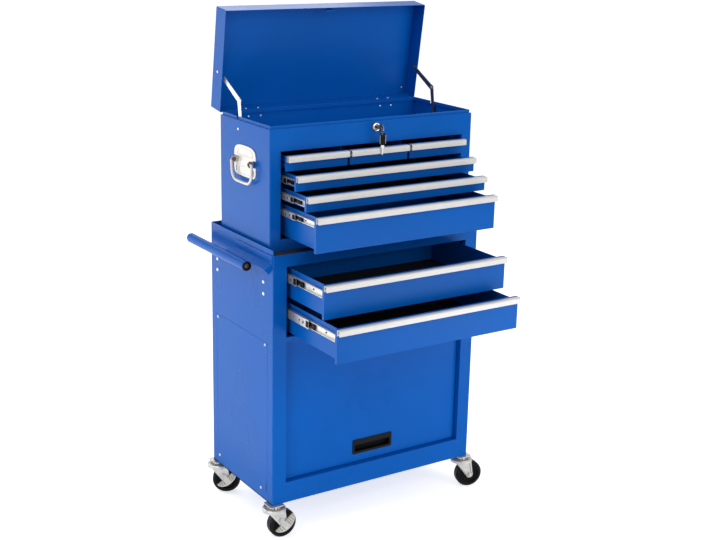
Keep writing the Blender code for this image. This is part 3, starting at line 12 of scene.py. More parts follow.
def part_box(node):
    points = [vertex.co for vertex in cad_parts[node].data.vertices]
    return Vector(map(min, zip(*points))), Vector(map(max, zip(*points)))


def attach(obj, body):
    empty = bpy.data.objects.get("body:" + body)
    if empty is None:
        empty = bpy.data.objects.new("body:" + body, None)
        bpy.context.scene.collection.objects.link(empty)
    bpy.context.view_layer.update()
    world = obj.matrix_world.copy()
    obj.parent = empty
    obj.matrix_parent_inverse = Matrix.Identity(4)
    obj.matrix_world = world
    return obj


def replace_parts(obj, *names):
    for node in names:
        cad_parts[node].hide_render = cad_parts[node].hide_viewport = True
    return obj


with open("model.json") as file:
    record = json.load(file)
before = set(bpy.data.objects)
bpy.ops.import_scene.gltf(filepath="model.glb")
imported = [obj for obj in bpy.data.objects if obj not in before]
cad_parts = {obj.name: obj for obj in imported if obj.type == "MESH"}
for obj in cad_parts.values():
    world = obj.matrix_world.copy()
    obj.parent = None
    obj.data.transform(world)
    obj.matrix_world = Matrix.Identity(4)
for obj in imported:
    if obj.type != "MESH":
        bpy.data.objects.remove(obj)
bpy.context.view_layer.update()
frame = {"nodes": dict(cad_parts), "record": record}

# The middle of the cabinet body on the floor is where the cart's own measures start
shell_low, shell_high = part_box("base_shell")
SHIFT_X = (shell_low[0] + shell_high[0]) / 2
SHIFT_Y = (shell_low[1] + shell_high[1]) / 2

UP = Vector((0, 0, 1))
DEPTH = Vector((0, 1, 0))
HANDS = ((-1, "left"), (1, "right"))
WHITE = (1.0, 1.0, 1.0, 1.0)

# Camera: degrees, metres and millimetres of lens
CAMERA_YAW = -33.175
CAMERA_PITCH = 16.156
CAMERA_ROLL = 1.254
CAMERA_DISTANCE = 3.3695
CAMERA_TARGET = (0.0424, 0.0, 0.5711)
CAMERA_FLOOR = 0.0531
CAMERA_LENS = 63.65
CAMERA_SENSOR = 36.0

# Light: how much the floor and the surround are lifted, and the lamps as name, place, target,
# width and height, power and how much of it falls as plain light beside its highlight
FLOOR_REACH = 30.0
FLOOR_TONE = 0.88
FLOOR_LIFT = 0.60
WORLD_LEVEL = 0.50
LAMPS = (
    ("key", (-2.1, -0.3, 3.2), (0.0, 0.0, 0.6), (2.2, 2.2), 26.0, 1.0),
    ("fill", (0.6, -3.4, 2.4), (0.0, 0.0, 0.6), (2.2, 2.2), 45.0, 1.0),
    ("back", (0.8, 2.6, 3.0), (0.0, 0.1, 0.8), (2.0, 2.0), 30.0, 1.0),
    ("bounce", (-0.95, -0.40, 0.12), (-0.35, -0.1, 0.80), (0.3, 0.3), 2.2, 1.0),
    ("low glow", (-1.75, 1.95, 0.02), (-1.75, 1.95, 1.0), (2.6, 3.4), 20.0, 0.0),
    ("haze", (-2.0, 2.2, 0.9), (-0.3, 0.0, 0.9), (2.2, 1.8), 22.0, 0.0),
    ("door glow", (0.70, -1.15, 0.10), (0.0, -0.15, 0.35), (0.8, 0.8), 6.5, 0.0),
)

# Finishes: how far the roughness swings, the depth of the fine bump, and the painted edge highlights
ROUGHNESS_SWING = 0.05
BUMP_DEPTH = 0.0004
HIGHLIGHT_RADIUS = 0.0011
HIGHLIGHT_SHARE = 0.45
MIX_FIRST_COLOUR = 6
MIX_SECOND_COLOUR = 7
MIX_COLOUR_OUT = 2

# Cabinet and chest: half widths, and rivets and screws of the sides as depth and height
BASE_HALF = 0.308
CHEST_HALF = 0.2983
CHEST_REAR_INSIDE = 0.1244
BODY_RIVETS = ((0.1290, 0.6710), (0.1290, 0.6419), (-0.1172, 0.6732), (-0.1172, 0.6431))
BODY_SCREWS = ((0.1290, 0.5132), (-0.1257, 0.5134), (0.1261, 0.1203), (-0.1050, 0.1202))
STAY_RIVET_ON_CHEST = (0.0291, 1.0246)
STAY_RIVET_ON_LID = (0.1379, 1.1512)

# Heads of rivets and screws as radius and height
RIVET_SUNK = 0.0005
SCREW_SUNK = 0.0004
BODY_RIVET_HEAD = (0.0047, 0.0024)
STAY_RIVET_HEAD = (0.0034, 0.0018)
HINGE_RIVET_HEAD = (0.0030, 0.0016)
LID_TOP_RIVET_HEAD = (0.0026, 0.0013)
PLATE_RIVET_HEAD = (0.0042, 0.0021)
BRACKET_RIVET_HEAD = (0.0030, 0.0014)
PANEL_SCREW_HEAD = (0.0036, 0.0019)
SLIDE_SCREW_HEAD = (0.0023, 0.0012)

# Dark strips painted as the shade of the hem along a side panel's foot and of the slot beside
# its front screw: front, low, rear, high, corner
PANEL_SEAM_SHADES = (
    (-0.1640, 0.0944, 0.1640, 0.0968, 0.0008),
    (-0.1328, 0.1195, -0.1312, 0.1430, 0.0005),
)
SEAM_RELIEF = 0.0002

# The door's recessed pull, behind its bezel; its faces behind this depth are painted dark as painted
# shade
PULL_SHADE_Y = -0.1500

# Lid and hinges
HINGE_X = 0.201
HINGE_Y = 0.1291
HINGE_Z = 1.0474
HINGE_RIVET_SPREAD = 0.0176
HINGE_RIVET_Z = 1.0352
HINGE_RIVET_RISE = 0.0112
LID_OPEN = 81.8
LID_TOP_INSIDE = 1.0953
LID_TOP_RIVET_X = 0.2865
LID_TOP_RIVET_Y = 0.1090
CATCH_HALF = 0.013
CATCH_OUTLINE = (
    (-0.1294, 1.0680), (-0.1294, 1.0570), (-0.1242, 1.0545), (-0.1242, 1.0425),
    (-0.1226, 1.0425), (-0.1226, 1.0556), (-0.1279, 1.0582), (-0.1279, 1.0680),
)

# Lid stays as depth and height, and the faces of each link as name, far end, and where its
# sheet starts and ends across the cart
STAY_FOOT = (0.0266, 1.0169)
STAY_KNEE = (0.0379, 1.0909)
STAY_TOP = (0.1205, 1.1359)
STAY_HALF = 0.0056
STAY_KNEE_HALF = STAY_HALF * 1.25
STAY_FACES = (("lower", STAY_FOOT, 0.29035, 0.29195), ("upper", STAY_TOP, 0.28855, 0.29015))

# Rivets of the stays as place across the cart, radius and height
KNEE_RIVET_INSIDE = (0.2884, 0.0040, 0.0012)
KNEE_RIVET_OUTSIDE = (0.2918, 0.0036, 0.0009)
STAY_TOP_RIVET = (0.2887, 0.0040, 0.0013)

# Lock: radius and depth of its plug's outline, its rim bead, and the painted shade behind and below
# it
LOCK_Z = 1.0319
LOCK_PLUG = (
    (0, -0.1329), (0.0040, -0.1330), (0.0058, -0.1334), (0.0060, -0.1331), (0.0060, -0.1326),
    (0, -0.1326),
)
LOCK_BEAD = (0.0088, -0.1357, 0.0013, 0.0012)
LOCK_SHADE_Y = -0.1349
LOCK_SHADE_DROP = 0.0045

# Ring through the bow of the key in the lock, and the spare key on it, from the key's hole
KEY_HOLE_Y = -0.1610
RING_DROP = 0.0012
RING_REACH = 0.0072
RING_WIRE = 0.0008
RING_FACING = 45.0
SPARE_FACING = -12.0
SPARE_FORWARD = 0.0016
SPARE_RISE = 0.0022
SPARE_HOLE = 0.0022
SPARE_HEAD = (-0.0085, -0.0270, 0.0085, 0.0030)
SPARE_HEAD_CORNER = 0.0055
SPARE_HEAD_HALF = 0.0014
SPARE_RIBS = (-0.0052, -0.0017, 0.0018, 0.0053)
SPARE_EDGES = (-0.0074, 0.0074)
SPARE_BLADE_HALF = 0.0009
SPARE_BLADE = (
    (-0.0036, -0.0262), (-0.0046, -0.0300), (-0.0034, -0.0342), (-0.0024, -0.0352),
    (-0.0024, -0.0480), (0.0, -0.0520), (0.0008, -0.0500), (0.0016, -0.0485),
    (0.0009, -0.0465), (0.0021, -0.0448), (0.0012, -0.0425), (0.0023, -0.0405),
    (0.0015, -0.0385), (0.0025, -0.0365), (0.0034, -0.0342), (0.0046, -0.0300),
    (0.0036, -0.0262),
)
SPARE_GROOVE = ((-0.0016, -0.0300), (-0.0016, -0.0470), (-0.0006, -0.0470), (-0.0006, -0.0300))

# Drawers: middle and half of the inside across the cart, face, floor and depth
Drawer = namedtuple("Drawer", "name centre half face_y floor depth")
DRAWERS = (
    Drawer("base_drawer_upper", 0.0, 0.2534, -0.3330, 0.6355, 0.2950),
    Drawer("base_drawer_lower", 0.0, 0.2534, -0.3920, 0.5457, 0.2950),
    Drawer("chest_drawer_upper", 0.0, 0.2492, -0.1939, 0.9125, 0.2320),
    Drawer("chest_drawer_middle", 0.0, 0.2492, -0.2417, 0.8723, 0.2320),
    Drawer("chest_drawer_deep", 0.0, 0.2492, -0.2867, 0.7828, 0.2320),
    Drawer("small_drawer_left", -0.17775, 0.0760, -0.1487, 0.9527, 0.2320),
    Drawer("small_drawer_centre", 0.0, 0.0760, -0.1487, 0.9527, 0.2320),
    Drawer("small_drawer_right", 0.17775, 0.0760, -0.1487, 0.9527, 0.2320),
)

# Liners: margins, sheet, height and pitch of the ribs, and a rib's corners from its start
LINER_FRONT_MARGIN = 0.0030
LINER_REAR_MARGIN = 0.0024
LINER_SIDE_MARGIN = 0.0020
LINER_LIFT = 0.0001
LINER_SHEET = 0.0012
LINER_RIB_TOP = 0.0021
LINER_PITCH = 0.0050
LINER_RIB = (
    (0.0014, LINER_SHEET), (0.0022, LINER_RIB_TOP), (0.0038, LINER_RIB_TOP), (0.0046, LINER_SHEET),
)

# Slides: half of the drawer's box, its face, their height, half of the outer channel, the front
# end of the middle member, and how far the lever lies behind the face
Slide = namedtuple("Slide", "drawer box_half face_y z half middle_front lever")
SLIDES = (
    Slide("base_drawer_upper", 0.2546, -0.3330, 0.6867, 0.0125, -0.1998, 0.108),
    Slide("base_drawer_lower", 0.2546, -0.3920, 0.5969, 0.0125, -0.2595, 0.112),
    Slide("chest_drawer_upper", 0.2504, -0.1939, 0.9233, 0.0100, -0.1433, 0.026),
    Slide("chest_drawer_middle", 0.2504, -0.2417, 0.8831, 0.0100, -0.1761, 0.038),
    Slide("chest_drawer_deep", 0.2504, -0.2867, 0.8429, 0.0100, -0.1850, 0.078),
)

# Outer channels: the body that holds them, their reach across it, and their heights and halves
OUTER_CHANNELS = (
    ("base_shell", 0.2600, 0.2684, ((0.6867, 0.0125), (0.5969, 0.0125))),
    ("chest_shell", 0.2560, 0.2642, ((0.9233, 0.0100), (0.8831, 0.0100), (0.8429, 0.0100))),
)
OUTER_CHANNEL_MARGIN = 0.0003

# Which faces of a drawer are its inner channel: out from the box, in height, behind the face
CHANNEL_OUT = 0.0002
CHANNEL_MARGIN = 0.0006
CHANNEL_START = 0.0095

# On a slide: how much lower the inner and the middle channel are than the outer one, their
# webs, the inner channel's screws behind the face, the middle channel's holes and their radii,
# and the outlines of the dark disc painted as a hole's shade and of the ring round it, as shares of
# that radius and height
INNER_LESS = 0.0032
MIDDLE_LESS = 0.0016
INNER_WEB = 0.0008
MIDDLE_WEB = 0.0097
SLIDE_SCREWS = (0.020, 0.066)
MIDDLE_HOLES = ((0.0255, 0.0044), (0.0440, 0.0044), (0.0720, 0.0030))
SLIDE_HOLE_SHADE = ((0, -0.0003), (0.70, -0.0003), (0.70, 0.00015), (0, 0.00015))
SLIDE_RING = ((0.74, -0.0003), (1, -0.0003), (1, 0.0003), (0.86, 0.0005), (0.74, 0.0003))

# Strips on a slide: start and end along the depth, low and high as shares of the channel,
# where they start and end out from the box, and their corners
CHANNEL_RIBS = (
    (0.0125, 0.210, -0.42, -0.30, 0.0006, 0.0014, 0.0003),
    (0.0125, 0.210, 0.30, 0.42, 0.0006, 0.0014, 0.0003),
)
SLIDE_STOP = (0.0105, 0.0170, -0.62, 0.62, 0.0006, 0.0042, 0.0012)
LEVER_PARTS = (
    (0.0, 0.013, -0.80, 0.55, 0.0008, 0.0056, 0.0018),
    (0.011, 0.034, -0.34, 0.34, 0.0008, 0.0048, 0.0012),
    (0.027, 0.034, -0.74, 0.30, 0.0008, 0.0052, 0.0014),
)
MIDDLE_CAP = (0.0010, 0.0130, -0.72, 0.72, 0.0095, 0.0102, 0.0014)

# Castors: swivel axes and how far each is turned, which are braked, and the wheel's trail
CASTORS = {
    "front_left": (-0.298, -0.155, -3.0),
    "front_right": (0.298, -0.155, -16.0),
    "rear_left": (-0.298, 0.155, -27.0),
    "rear_right": (0.298, 0.155, -21.0),
}
BRAKED = ("front_left", "rear_left")
TRAIL = 0.021
WHEEL_RADIUS = 0.0375
HUB_REACH = 0.0264
NUT_OUT = 0.0177

# A fork's leg: how far out it lies, the radii of its foot and inside the rim, and the rim
LEG_OUT = 0.0165
LEG_FOOT = 0.0072
RIM_FOOT = 0.0055
RIM_SUNK = 0.0003
RIM_RISE = 0.0006

# Balls of the race, as radius and height
RACE_BALLS = 14
RACE_REACH = 0.0183
RACE_HEIGHT = 0.0873
RACE_BALL = ((0, -0.0020), (0.0014, -0.0014), (0.0020, 0), (0.0014, 0.0014), (0, 0.0020))

# The axle's hexagon nut with its bolt end, and the flat rivet on the braked side
NUT = ((0, -0.0004), (0.0058, -0.0004), (0.0058, 0.0018), (0.0050, 0.0024), (0, 0.0024))
BOLT_END = ((0, 0.0020), (0.0027, 0.0020), (0.0027, 0.0034), (0.0020, 0.0040), (0, 0.0040))
FLAT_RIVET = ((0, -0.0004), (0.0042, -0.0004), (0.0042, 0.0006), (0.0030, 0.0011), (0, 0.0013))

# Rings moulded on a wheel's side as inner and outer radius, and the ring of its hub
WHEEL_RINGS = ((0.0172, 0.0182), (0.0208, 0.0216), (0.0240, 0.0252))
HUB_RING = (
    (0.0060, 0.0110), (0.0112, 0.0110), (0.0112, 0.0124), (0.0104, 0.0129), (0.0060, 0.0129),
)

# Brake pedals: slope, flare and tread, and the ribs across and along them
PEDAL_SLOPE = 40.0
PEDAL_FLARE = 36.0
PEDAL_CHORD_RISE = 0.0070
PEDAL_TREAD = 0.0215
PEDAL_MIDDLE = 0.0055
PEDAL_HALF = 0.0325
PEDAL_MARGIN = 0.0030
PEDAL_FACE = 0.0014
PEDAL_RIBS = 9
PEDAL_RIB_START = -0.0205
PEDAL_RIB_PITCH = 0.0065
PEDAL_PIVOT_CLEAR = 0.0070
PEDAL_EDGE_RIBS = ((-0.0265, -0.0075), (0.0075, 0.0375))

# Carrying handles: the pivot, the ears' and the hoop's reach, and the pressed plate
BAIL_X = 0.3094
BAIL_Y = -0.0082
BAIL_Z = 0.9502
BAIL_EAR = 0.0430
BAIL_HALF = 0.0530
BAIL_WIRE = 0.0034
BAIL_BEND = 0.0070
PLATE_BACK = 0.2986
PLATE_SHEET = 0.0016
PLATE_HALF = 0.0555
PLATE_RISE = 0.0388
PLATE_FALL = 0.0380
PLATE_NOTCH = 0.0085
PLATE_LOBE_SHARE = 0.62
PLATE_FOOT_SHARE = 0.40
PLATE_SLOTS = (-0.0440, 0.0440)
PLATE_RIVETS = (-0.026, 0.026)
EAR_OUT = 0.0092
EAR_BORE = 0.0038
PLATE_BEAD_SUNK = 0.0004
LOBE_HALF = 0.0400
LOBE_LOW = 0.0130
LOBE_RISE = 0.0195
BAIL_WASHER = ((0.0036, 0.0), (0.0066, 0.0), (0.0066, 0.0012), (0.0036, 0.0012))
BAIL_PIVOT_HEAD = ((0, 0.0), (0.0048, 0.0), (0.0054, -0.0008), (0.0054, -0.0030), (0, -0.0030))

# Push handle: the tube, and the slanted bracket that carries it
TUBE_X = -0.3413
TUBE_Z = 0.7112
TUBE_ENDS = (-0.0923, 0.2145)
TUBE_RADIUS = 0.0125
TUBE_WALL = 0.0015
TUBE_EASE = 0.0004
BRACKET_WALL = -0.3083
BRACKET_TOP = 0.7486
BRACKET_BEND = 0.7288
BRACKET_SPAN = (-0.1620, 0.0460)
BRACKET_SHEET = 0.0020
BRACKET_LEAN = (0.30, 0.82)
BRACKET_RIVETS = (-0.034, -0.135)
BRACKET_RIVET_Z = 0.7400
CHEEK_DEPTH = 0.0130


def adder(tree):
    """A helper that adds a node to the tree; a name after in_ sets one of its sockets."""
    def add(kind, **values):
        node = tree.nodes.new(kind)
        for key, value in values.items():
            if key.startswith("in_"):
                node.inputs[key[3:].replace("_", " ")].default_value = value
            else:
                setattr(node, key, value)
        return node

    return add


def node_tree(name):
    """A new material with its Principled shader, and helpers that add and link its nodes."""
    material = bpy.data.materials.new(name)
    material.use_nodes = True
    tree = material.node_tree
    return material, tree.nodes["Principled BSDF"], adder(tree), tree.links.new


def ramp(add, link, factor, stops):
    """A colour ramp that the factor runs along."""
    node = add("ShaderNodeValToRGB")
    elements = node.color_ramp.elements
    while len(elements) < len(stops):
        elements.new(0.5)
    for element, (place, colour) in zip(elements, stops):
        element.position = place
        element.color = (*colour, 1.0)
    link(factor, node.inputs["Fac"])
    return node.outputs["Color"]


def edge_highlights(add, link, base, edge_highlight):
    """Mixes a painted highlight colour in where a rounded edge turns away from its own face."""
    edge = add("ShaderNodeBevel", samples=3, in_Radius=HIGHLIGHT_RADIUS)
    geometry = add("ShaderNodeNewGeometry")
    dot = add("ShaderNodeVectorMath", operation="DOT_PRODUCT")
    link(edge.outputs["Normal"], dot.inputs[0])
    link(geometry.outputs["Normal"], dot.inputs[1])
    highlighted = add("ShaderNodeMapRange", in_From_Min=0.995, in_From_Max=0.90, in_To_Max=HIGHLIGHT_SHARE)
    link(dot.outputs["Value"], highlighted.inputs["Value"])
    mix = add("ShaderNodeMix", data_type="RGBA")
    link(highlighted.outputs["Result"], mix.inputs["Factor"])
    link(base, mix.inputs[MIX_FIRST_COLOUR])
    mix.inputs[MIX_SECOND_COLOUR].default_value = (*edge_highlight, 1.0)
    return mix.outputs[MIX_COLOUR_OUT]


def surface(name, colour, roughness, spread, grain, fine, bump, metallic=0.0, gloss=0.5, edge_highlight=None):
    """A procedural finish: slow colour drift, uneven gloss, a fine bump and painted edge highlights.
    """
    material, shader, add, link = node_tree(name)
    place = add("ShaderNodeTexCoord").outputs["Object"]
    drift = add("ShaderNodeTexNoise", in_Scale=grain, in_Detail=3.0, in_Roughness=0.55)
    link(place, drift.inputs["Vector"])
    dark = tuple(c * (1 - spread) for c in colour)
    light = tuple(c * (1 + spread) + 0.004 * spread for c in colour)
    base = ramp(add, link, drift.outputs["Fac"], [(0.35, dark), (0.65, light)])
    sheen = add("ShaderNodeMapRange", in_From_Min=0.3, in_From_Max=0.7,
                in_To_Min=roughness - ROUGHNESS_SWING, in_To_Max=roughness + ROUGHNESS_SWING)
    link(drift.outputs["Fac"], sheen.inputs["Value"])
    link(sheen.outputs["Result"], shader.inputs["Roughness"])
    if edge_highlight is not None:
        base = edge_highlights(add, link, base, edge_highlight)
    link(base, shader.inputs["Base Color"])
    shader.inputs["Metallic"].default_value = metallic
    shader.inputs["Specular IOR Level"].default_value = gloss
    peel = add("ShaderNodeTexNoise", in_Scale=fine, in_Detail=2.0, in_Roughness=0.5)
    link(place, peel.inputs["Vector"])
    relief = add("ShaderNodeBump", in_Strength=bump, in_Distance=BUMP_DEPTH)
    link(peel.outputs["Fac"], relief.inputs["Height"])
    link(relief.outputs["Normal"], shader.inputs["Normal"])
    return material


# The blue coat's lighter edge colour is a painted highlight along its rounded edges.
BLUE = surface("blue_powder_coat", (0.0010, 0.100, 0.440), roughness=0.30, spread=0.04, grain=4.0,
               fine=700.0, bump=0.08, gloss=0.07, edge_highlight=(0.07, 0.22, 0.62))
LINER = surface("drawer_liner", (0.005, 0.006, 0.010), roughness=0.62, spread=0.2, grain=40.0,
                fine=1500.0, bump=0.14, gloss=0.15)
ZINC = surface("zinc_plate", (0.50, 0.49, 0.47), roughness=0.36, metallic=0.75, spread=0.10,
               grain=70.0, fine=1200.0, bump=0.06)
BRIGHT_ZINC = surface("bright_zinc", (0.64, 0.63, 0.61), roughness=0.34, metallic=0.6, spread=0.06,
                      grain=70.0, fine=1200.0, bump=0.06)
SILVER = surface("silver_trim", (0.60, 0.595, 0.58), roughness=0.42, metallic=0.15, spread=0.03,
                 grain=40.0, fine=1500.0, bump=0.05)
CHROME = surface("chrome", (0.80, 0.80, 0.80), roughness=0.16, metallic=1.0, spread=0.03,
                 grain=30.0, fine=900.0, bump=0.02)
BLACK = surface("black_plastic", (0.004, 0.004, 0.005), roughness=0.45, spread=0.2, grain=120.0,
                fine=1800.0, bump=0.12, gloss=0.1)
RUBBER = surface("black_rubber", (0.020, 0.020, 0.021), roughness=0.62, spread=0.25, grain=80.0,
                 fine=1600.0, bump=0.16)
WHEEL = surface("wheel_rubber", (0.003, 0.003, 0.0035), roughness=0.40, spread=0.25, grain=90.0,
                fine=1500.0, bump=0.12, gloss=0.10)
# Near black: the slide screws' dark heads, and painted shade in the door pull's recess, the panel
# seams and the slide holes.
DARK_AND_SHADE = surface("dark_screws_and_painted_shade", (0.003, 0.003, 0.004), roughness=0.7, spread=0.2, grain=90.0,
               fine=1500.0, bump=0.10, gloss=0.06)
BRASS = surface("lock_brass", (0.15, 0.095, 0.055), roughness=0.40, metallic=0.8, spread=0.25,
                grain=300.0, fine=2500.0, bump=0.08)
PLATE = surface("pressed_plate", (0.60, 0.575, 0.55), roughness=0.42, metallic=0.35, spread=0.05,
                grain=60.0, fine=1200.0, bump=0.05)
# Dull steel: the key, its ring and the small dark steel parts, and painted shade on the lock, the
# right-hand stays and the castors' ribs.
DULL_STEEL_AND_SHADE = surface("dull_steel_and_painted_shade", (0.22, 0.20, 0.175), roughness=0.36, metallic=0.9, spread=0.25,
               grain=200.0, fine=1800.0, bump=0.06)

SLOT_FINISHES = {
    "blue_paint": BLUE,
    "zinc_plate": ZINC,
    "silver_trim": SILVER,
    "chrome": CHROME,
    "black_plastic": BLACK,
    "black_rubber": RUBBER,
    "wheel_rubber": WHEEL,
}


def dress_frame():
    """Gives every solid its finish, and paints the inside of the door pull's recess dark as painted
    shade.
    """
    for sub in frame["record"]["subparts"]:
        piece = frame["nodes"][sub["node"]]
        finish = SLOT_FINISHES[sub["material_slot"]]
        piece.data.materials.clear()
        piece.data.materials.append(finish)
        for polygon in piece.data.polygons:
            polygon.material_index = 0
    # The inside of the door pull's recess is painted dark as painted shade.
    paint("door_pull", DARK_AND_SHADE, lambda x, y, z: y > PULL_SHADE_Y)


def paint(node, finish, chosen):
    """Gives the chosen faces of a solid a second finish; its mesh stays as it is."""
    mesh = frame["nodes"][node].data
    mesh.materials.append(finish)
    place = len(mesh.materials) - 1
    for polygon in mesh.polygons:
        middle = polygon.center
        if chosen(middle.x - SHIFT_X, middle.y - SHIFT_Y, middle.z):
            polygon.material_index = place


def at(x, y, z):
    """A place given from the middle of the cabinet body on the floor."""
    return Vector((x + SHIFT_X, y + SHIFT_Y, z))


def lid_at(x, y, z):
    """A place on the shut lid, carried to where the open lid holds it."""
    dy, dz = y - HINGE_Y, z - HINGE_Z
    turn = radians(LID_OPEN)
    return at(x, HINGE_Y + dy * cos(turn) + dz * sin(turn),
              HINGE_Z - dy * sin(turn) + dz * cos(turn))


def keep(name, bm, finish, body, sharp=35.0):
    """Closes the mesh under construction, gives it its finish and lets it ride on its body."""
    bmesh.ops.recalc_face_normals(bm, faces=bm.faces)
    mesh = bpy.data.meshes.new(name)
    bm.to_mesh(mesh)
    bm.free()
    mesh.materials.append(finish)
    mesh.shade_smooth()
    mesh.set_sharp_from_angle(angle=radians(sharp))
    thing = bpy.data.objects.new(name, mesh)
    bpy.context.scene.collection.objects.link(thing)
    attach(thing, body)
    return thing


def around(steps, offset=0.0):
    """The angles of equal steps round a full turn."""
    return [2 * pi * (k + offset) / steps for k in range(steps)]


def degrees(start, stop, step):
    """The angles from start to below stop in degrees, as radians."""
    return [radians(a) for a in range(start, stop, step)]


def curve(u, v, reach, rise, angles):
    """Points of a circle or an ellipse at the given angles."""
    return [(u + reach * cos(a), v + rise * sin(a)) for a in angles]


def circle(u, v, radius, steps=16):
    """A round outline."""
    return curve(u, v, radius, radius, around(steps))


def rounded(low_u, low_v, high_u, high_v, radius, steps=4):
    """A rectangle's outline with round corners."""
    left, right = low_u + radius, high_u - radius
    foot, head = low_v + radius, high_v - radius
    points = []
    for u, v, start in ((right, head, 0), (left, head, 90), (left, foot, 180), (right, foot, 270)):
        turns = [radians(start + 90 * k / steps) for k in range(steps + 1)]
        points += curve(u, v, radius, radius, turns)
    return points


def ring_of(bm, middle, side, across, radius, steps):
    """Corners round a middle, in the plane of two directions."""
    return [bm.verts.new(middle + (side * cos(a) + across * sin(a)) * radius)
            for a in around(steps)]


def join_rings(bm, low, high):
    """A band of faces between two closed loops of as many corners."""
    count = len(low)
    for k in range(count):
        n = (k + 1) % count
        bm.faces.new((low[k], high[k], high[n], low[n]))


def fill_between(bm, *loops):
    """Flat faces between an outer loop of corners and those inside it."""
    edges = []
    for loop in loops:
        for a, b in zip(loop, loop[1:] + loop[:1]):
            edge = bm.edges.get((a, b))
            edges.append(edge if edge else bm.edges.new((a, b)))
    bmesh.ops.triangle_fill(bm, edges=edges, use_beauty=True)


def lathe(bm, profile, place, axis, steps=16, closed=False):
    """Turns (radius, height) points round an axis; a closed profile makes a ring."""
    axis = Vector(axis).normalized()
    side = axis.orthogonal().normalized()
    across = axis.cross(side)
    rings = []
    for radius, height in profile:
        middle = Vector(place) + axis * height
        if radius == 0:
            rings.append([bm.verts.new(middle)])
        else:
            rings.append(ring_of(bm, middle, side, across, radius, steps))
    pairs = list(zip(rings, rings[1:]))
    if closed:
        pairs.append((rings[-1], rings[0]))
    for low, high in pairs:
        if len(low) == len(high):
            join_rings(bm, low, high)
            continue
        for k in range(steps):
            n = (k + 1) % steps
            if len(low) == 1:
                bm.faces.new((low[0], high[k], high[n]))
            else:
                bm.faces.new((low[k], high[0], low[n]))


def dome(bm, place, out, radius, height):
    """A rivet head, sunk a little into what it holds."""
    profile = [(0, -RIVET_SUNK), (radius, -RIVET_SUNK)]
    for reach, rise in ((1.0, 0.15), (0.95, 0.42), (0.76, 0.78), (0.42, 0.96)):
        profile.append((radius * reach, height * rise))
    lathe(bm, profile + [(0, height)], place, out)


def screw(bm, place, out, radius, height, turn=0.4):
    """A pan-head screw with a cross recess."""
    axis = Vector(out).normalized()
    side = axis.orthogonal().normalized()
    across = axis.cross(side)
    rings = []
    for reach, level in ((radius, -SCREW_SUNK), (radius, height * 0.35),
                         (radius * 0.88, height * 0.8), (radius * 0.66, height)):
        rings.append(ring_of(bm, Vector(place) + axis * level, side, across, reach, 16))
    bm.faces.new(rings[0])
    for low, high in zip(rings, rings[1:]):
        join_rings(bm, low, high)
    arm, waist = radius * 0.5, radius * 0.13
    cross = ((arm, -waist), (arm, waist), (waist, waist), (waist, arm), (-waist, arm),
             (-waist, waist), (-arm, waist), (-arm, -waist), (-waist, -waist), (-waist, -arm),
             (waist, -arm), (waist, -waist))
    loops = []
    for level in (height, height * 0.35):
        loop = []
        for a, b in cross:
            u = a * cos(turn) - b * sin(turn)
            v = a * sin(turn) + b * cos(turn)
            loop.append(bm.verts.new(Vector(place) + axis * level + side * u + across * v))
        loops.append(loop)
    fill_between(bm, rings[-1], loops[0])
    join_rings(bm, *loops)
    bm.faces.new(loops[1])


def slab(bm, outline, origin, across, up, near, far, holes=()):
    """A flat outline, thick from near to far along the normal of its two directions."""
    across, up = Vector(across), Vector(up)
    out = across.cross(up).normalized()
    near_loops, far_loops = [], []
    for edge in (outline, *holes):
        loops = []
        for level in (near, far):
            loops.append([bm.verts.new(Vector(origin) + across * u + up * v + out * level)
                          for u, v in edge])
        join_rings(bm, *loops)
        near_loops.append(loops[0])
        far_loops.append(loops[1])
    for loops in (near_loops, far_loops):
        if holes:
            fill_between(bm, *loops)
        else:
            bm.faces.new(loops[0])


def tube(bm, points, radius, steps=8, closed=False):
    """A round wire along a path."""
    count = len(points)
    rings = []
    normal = None
    for k in range(count):
        ahead = points[(k + 1) % count] if closed or k + 1 < count else points[k]
        behind = points[k - 1] if closed or k > 0 else points[k]
        way = (ahead - behind).normalized()
        if normal is None:
            normal = way.orthogonal().normalized()
        normal = (normal - way * normal.dot(way)).normalized()
        rings.append(ring_of(bm, points[k], normal, way.cross(normal), radius, steps))
    for low, high in zip(rings, rings[1:]):
        join_rings(bm, low, high)
    if closed:
        join_rings(bm, rings[-1], rings[0])
    else:
        bm.faces.new(rings[0])
        bm.faces.new(rings[-1])


def hinge_rivets(side):
    """Where a hinge leaf's two rivets stand across the cart."""
    return (side * HINGE_X - HINGE_RIVET_SPREAD, side * HINGE_X + HINGE_RIVET_SPREAD)


def body_fasteners():
    """Rivets and screws of the cabinet, the chest and the hinges' lower leaves."""
    bm = bmesh.new()
    for side in (-1, 1):
        out = (side, 0, 0)
        for y, z in BODY_RIVETS:
            dome(bm, at(side * BASE_HALF, y, z), out, *BODY_RIVET_HEAD)
        dome(bm, at(side * CHEST_HALF, *STAY_RIVET_ON_CHEST), out, *STAY_RIVET_HEAD)
        for x in hinge_rivets(side):
            dome(bm, at(x, CHEST_REAR_INSIDE, HINGE_RIVET_Z), (0, -1, 0), *HINGE_RIVET_HEAD)
    keep("body_rivets", bm, BRIGHT_ZINC, "cabinet")
    bm = bmesh.new()
    for side in (-1, 1):
        for y, z in BODY_SCREWS:
            screw(bm, at(side * BASE_HALF, y, z), (side, 0, 0), *PANEL_SCREW_HEAD)
    keep("panel_screws", bm, BRIGHT_ZINC, "cabinet")


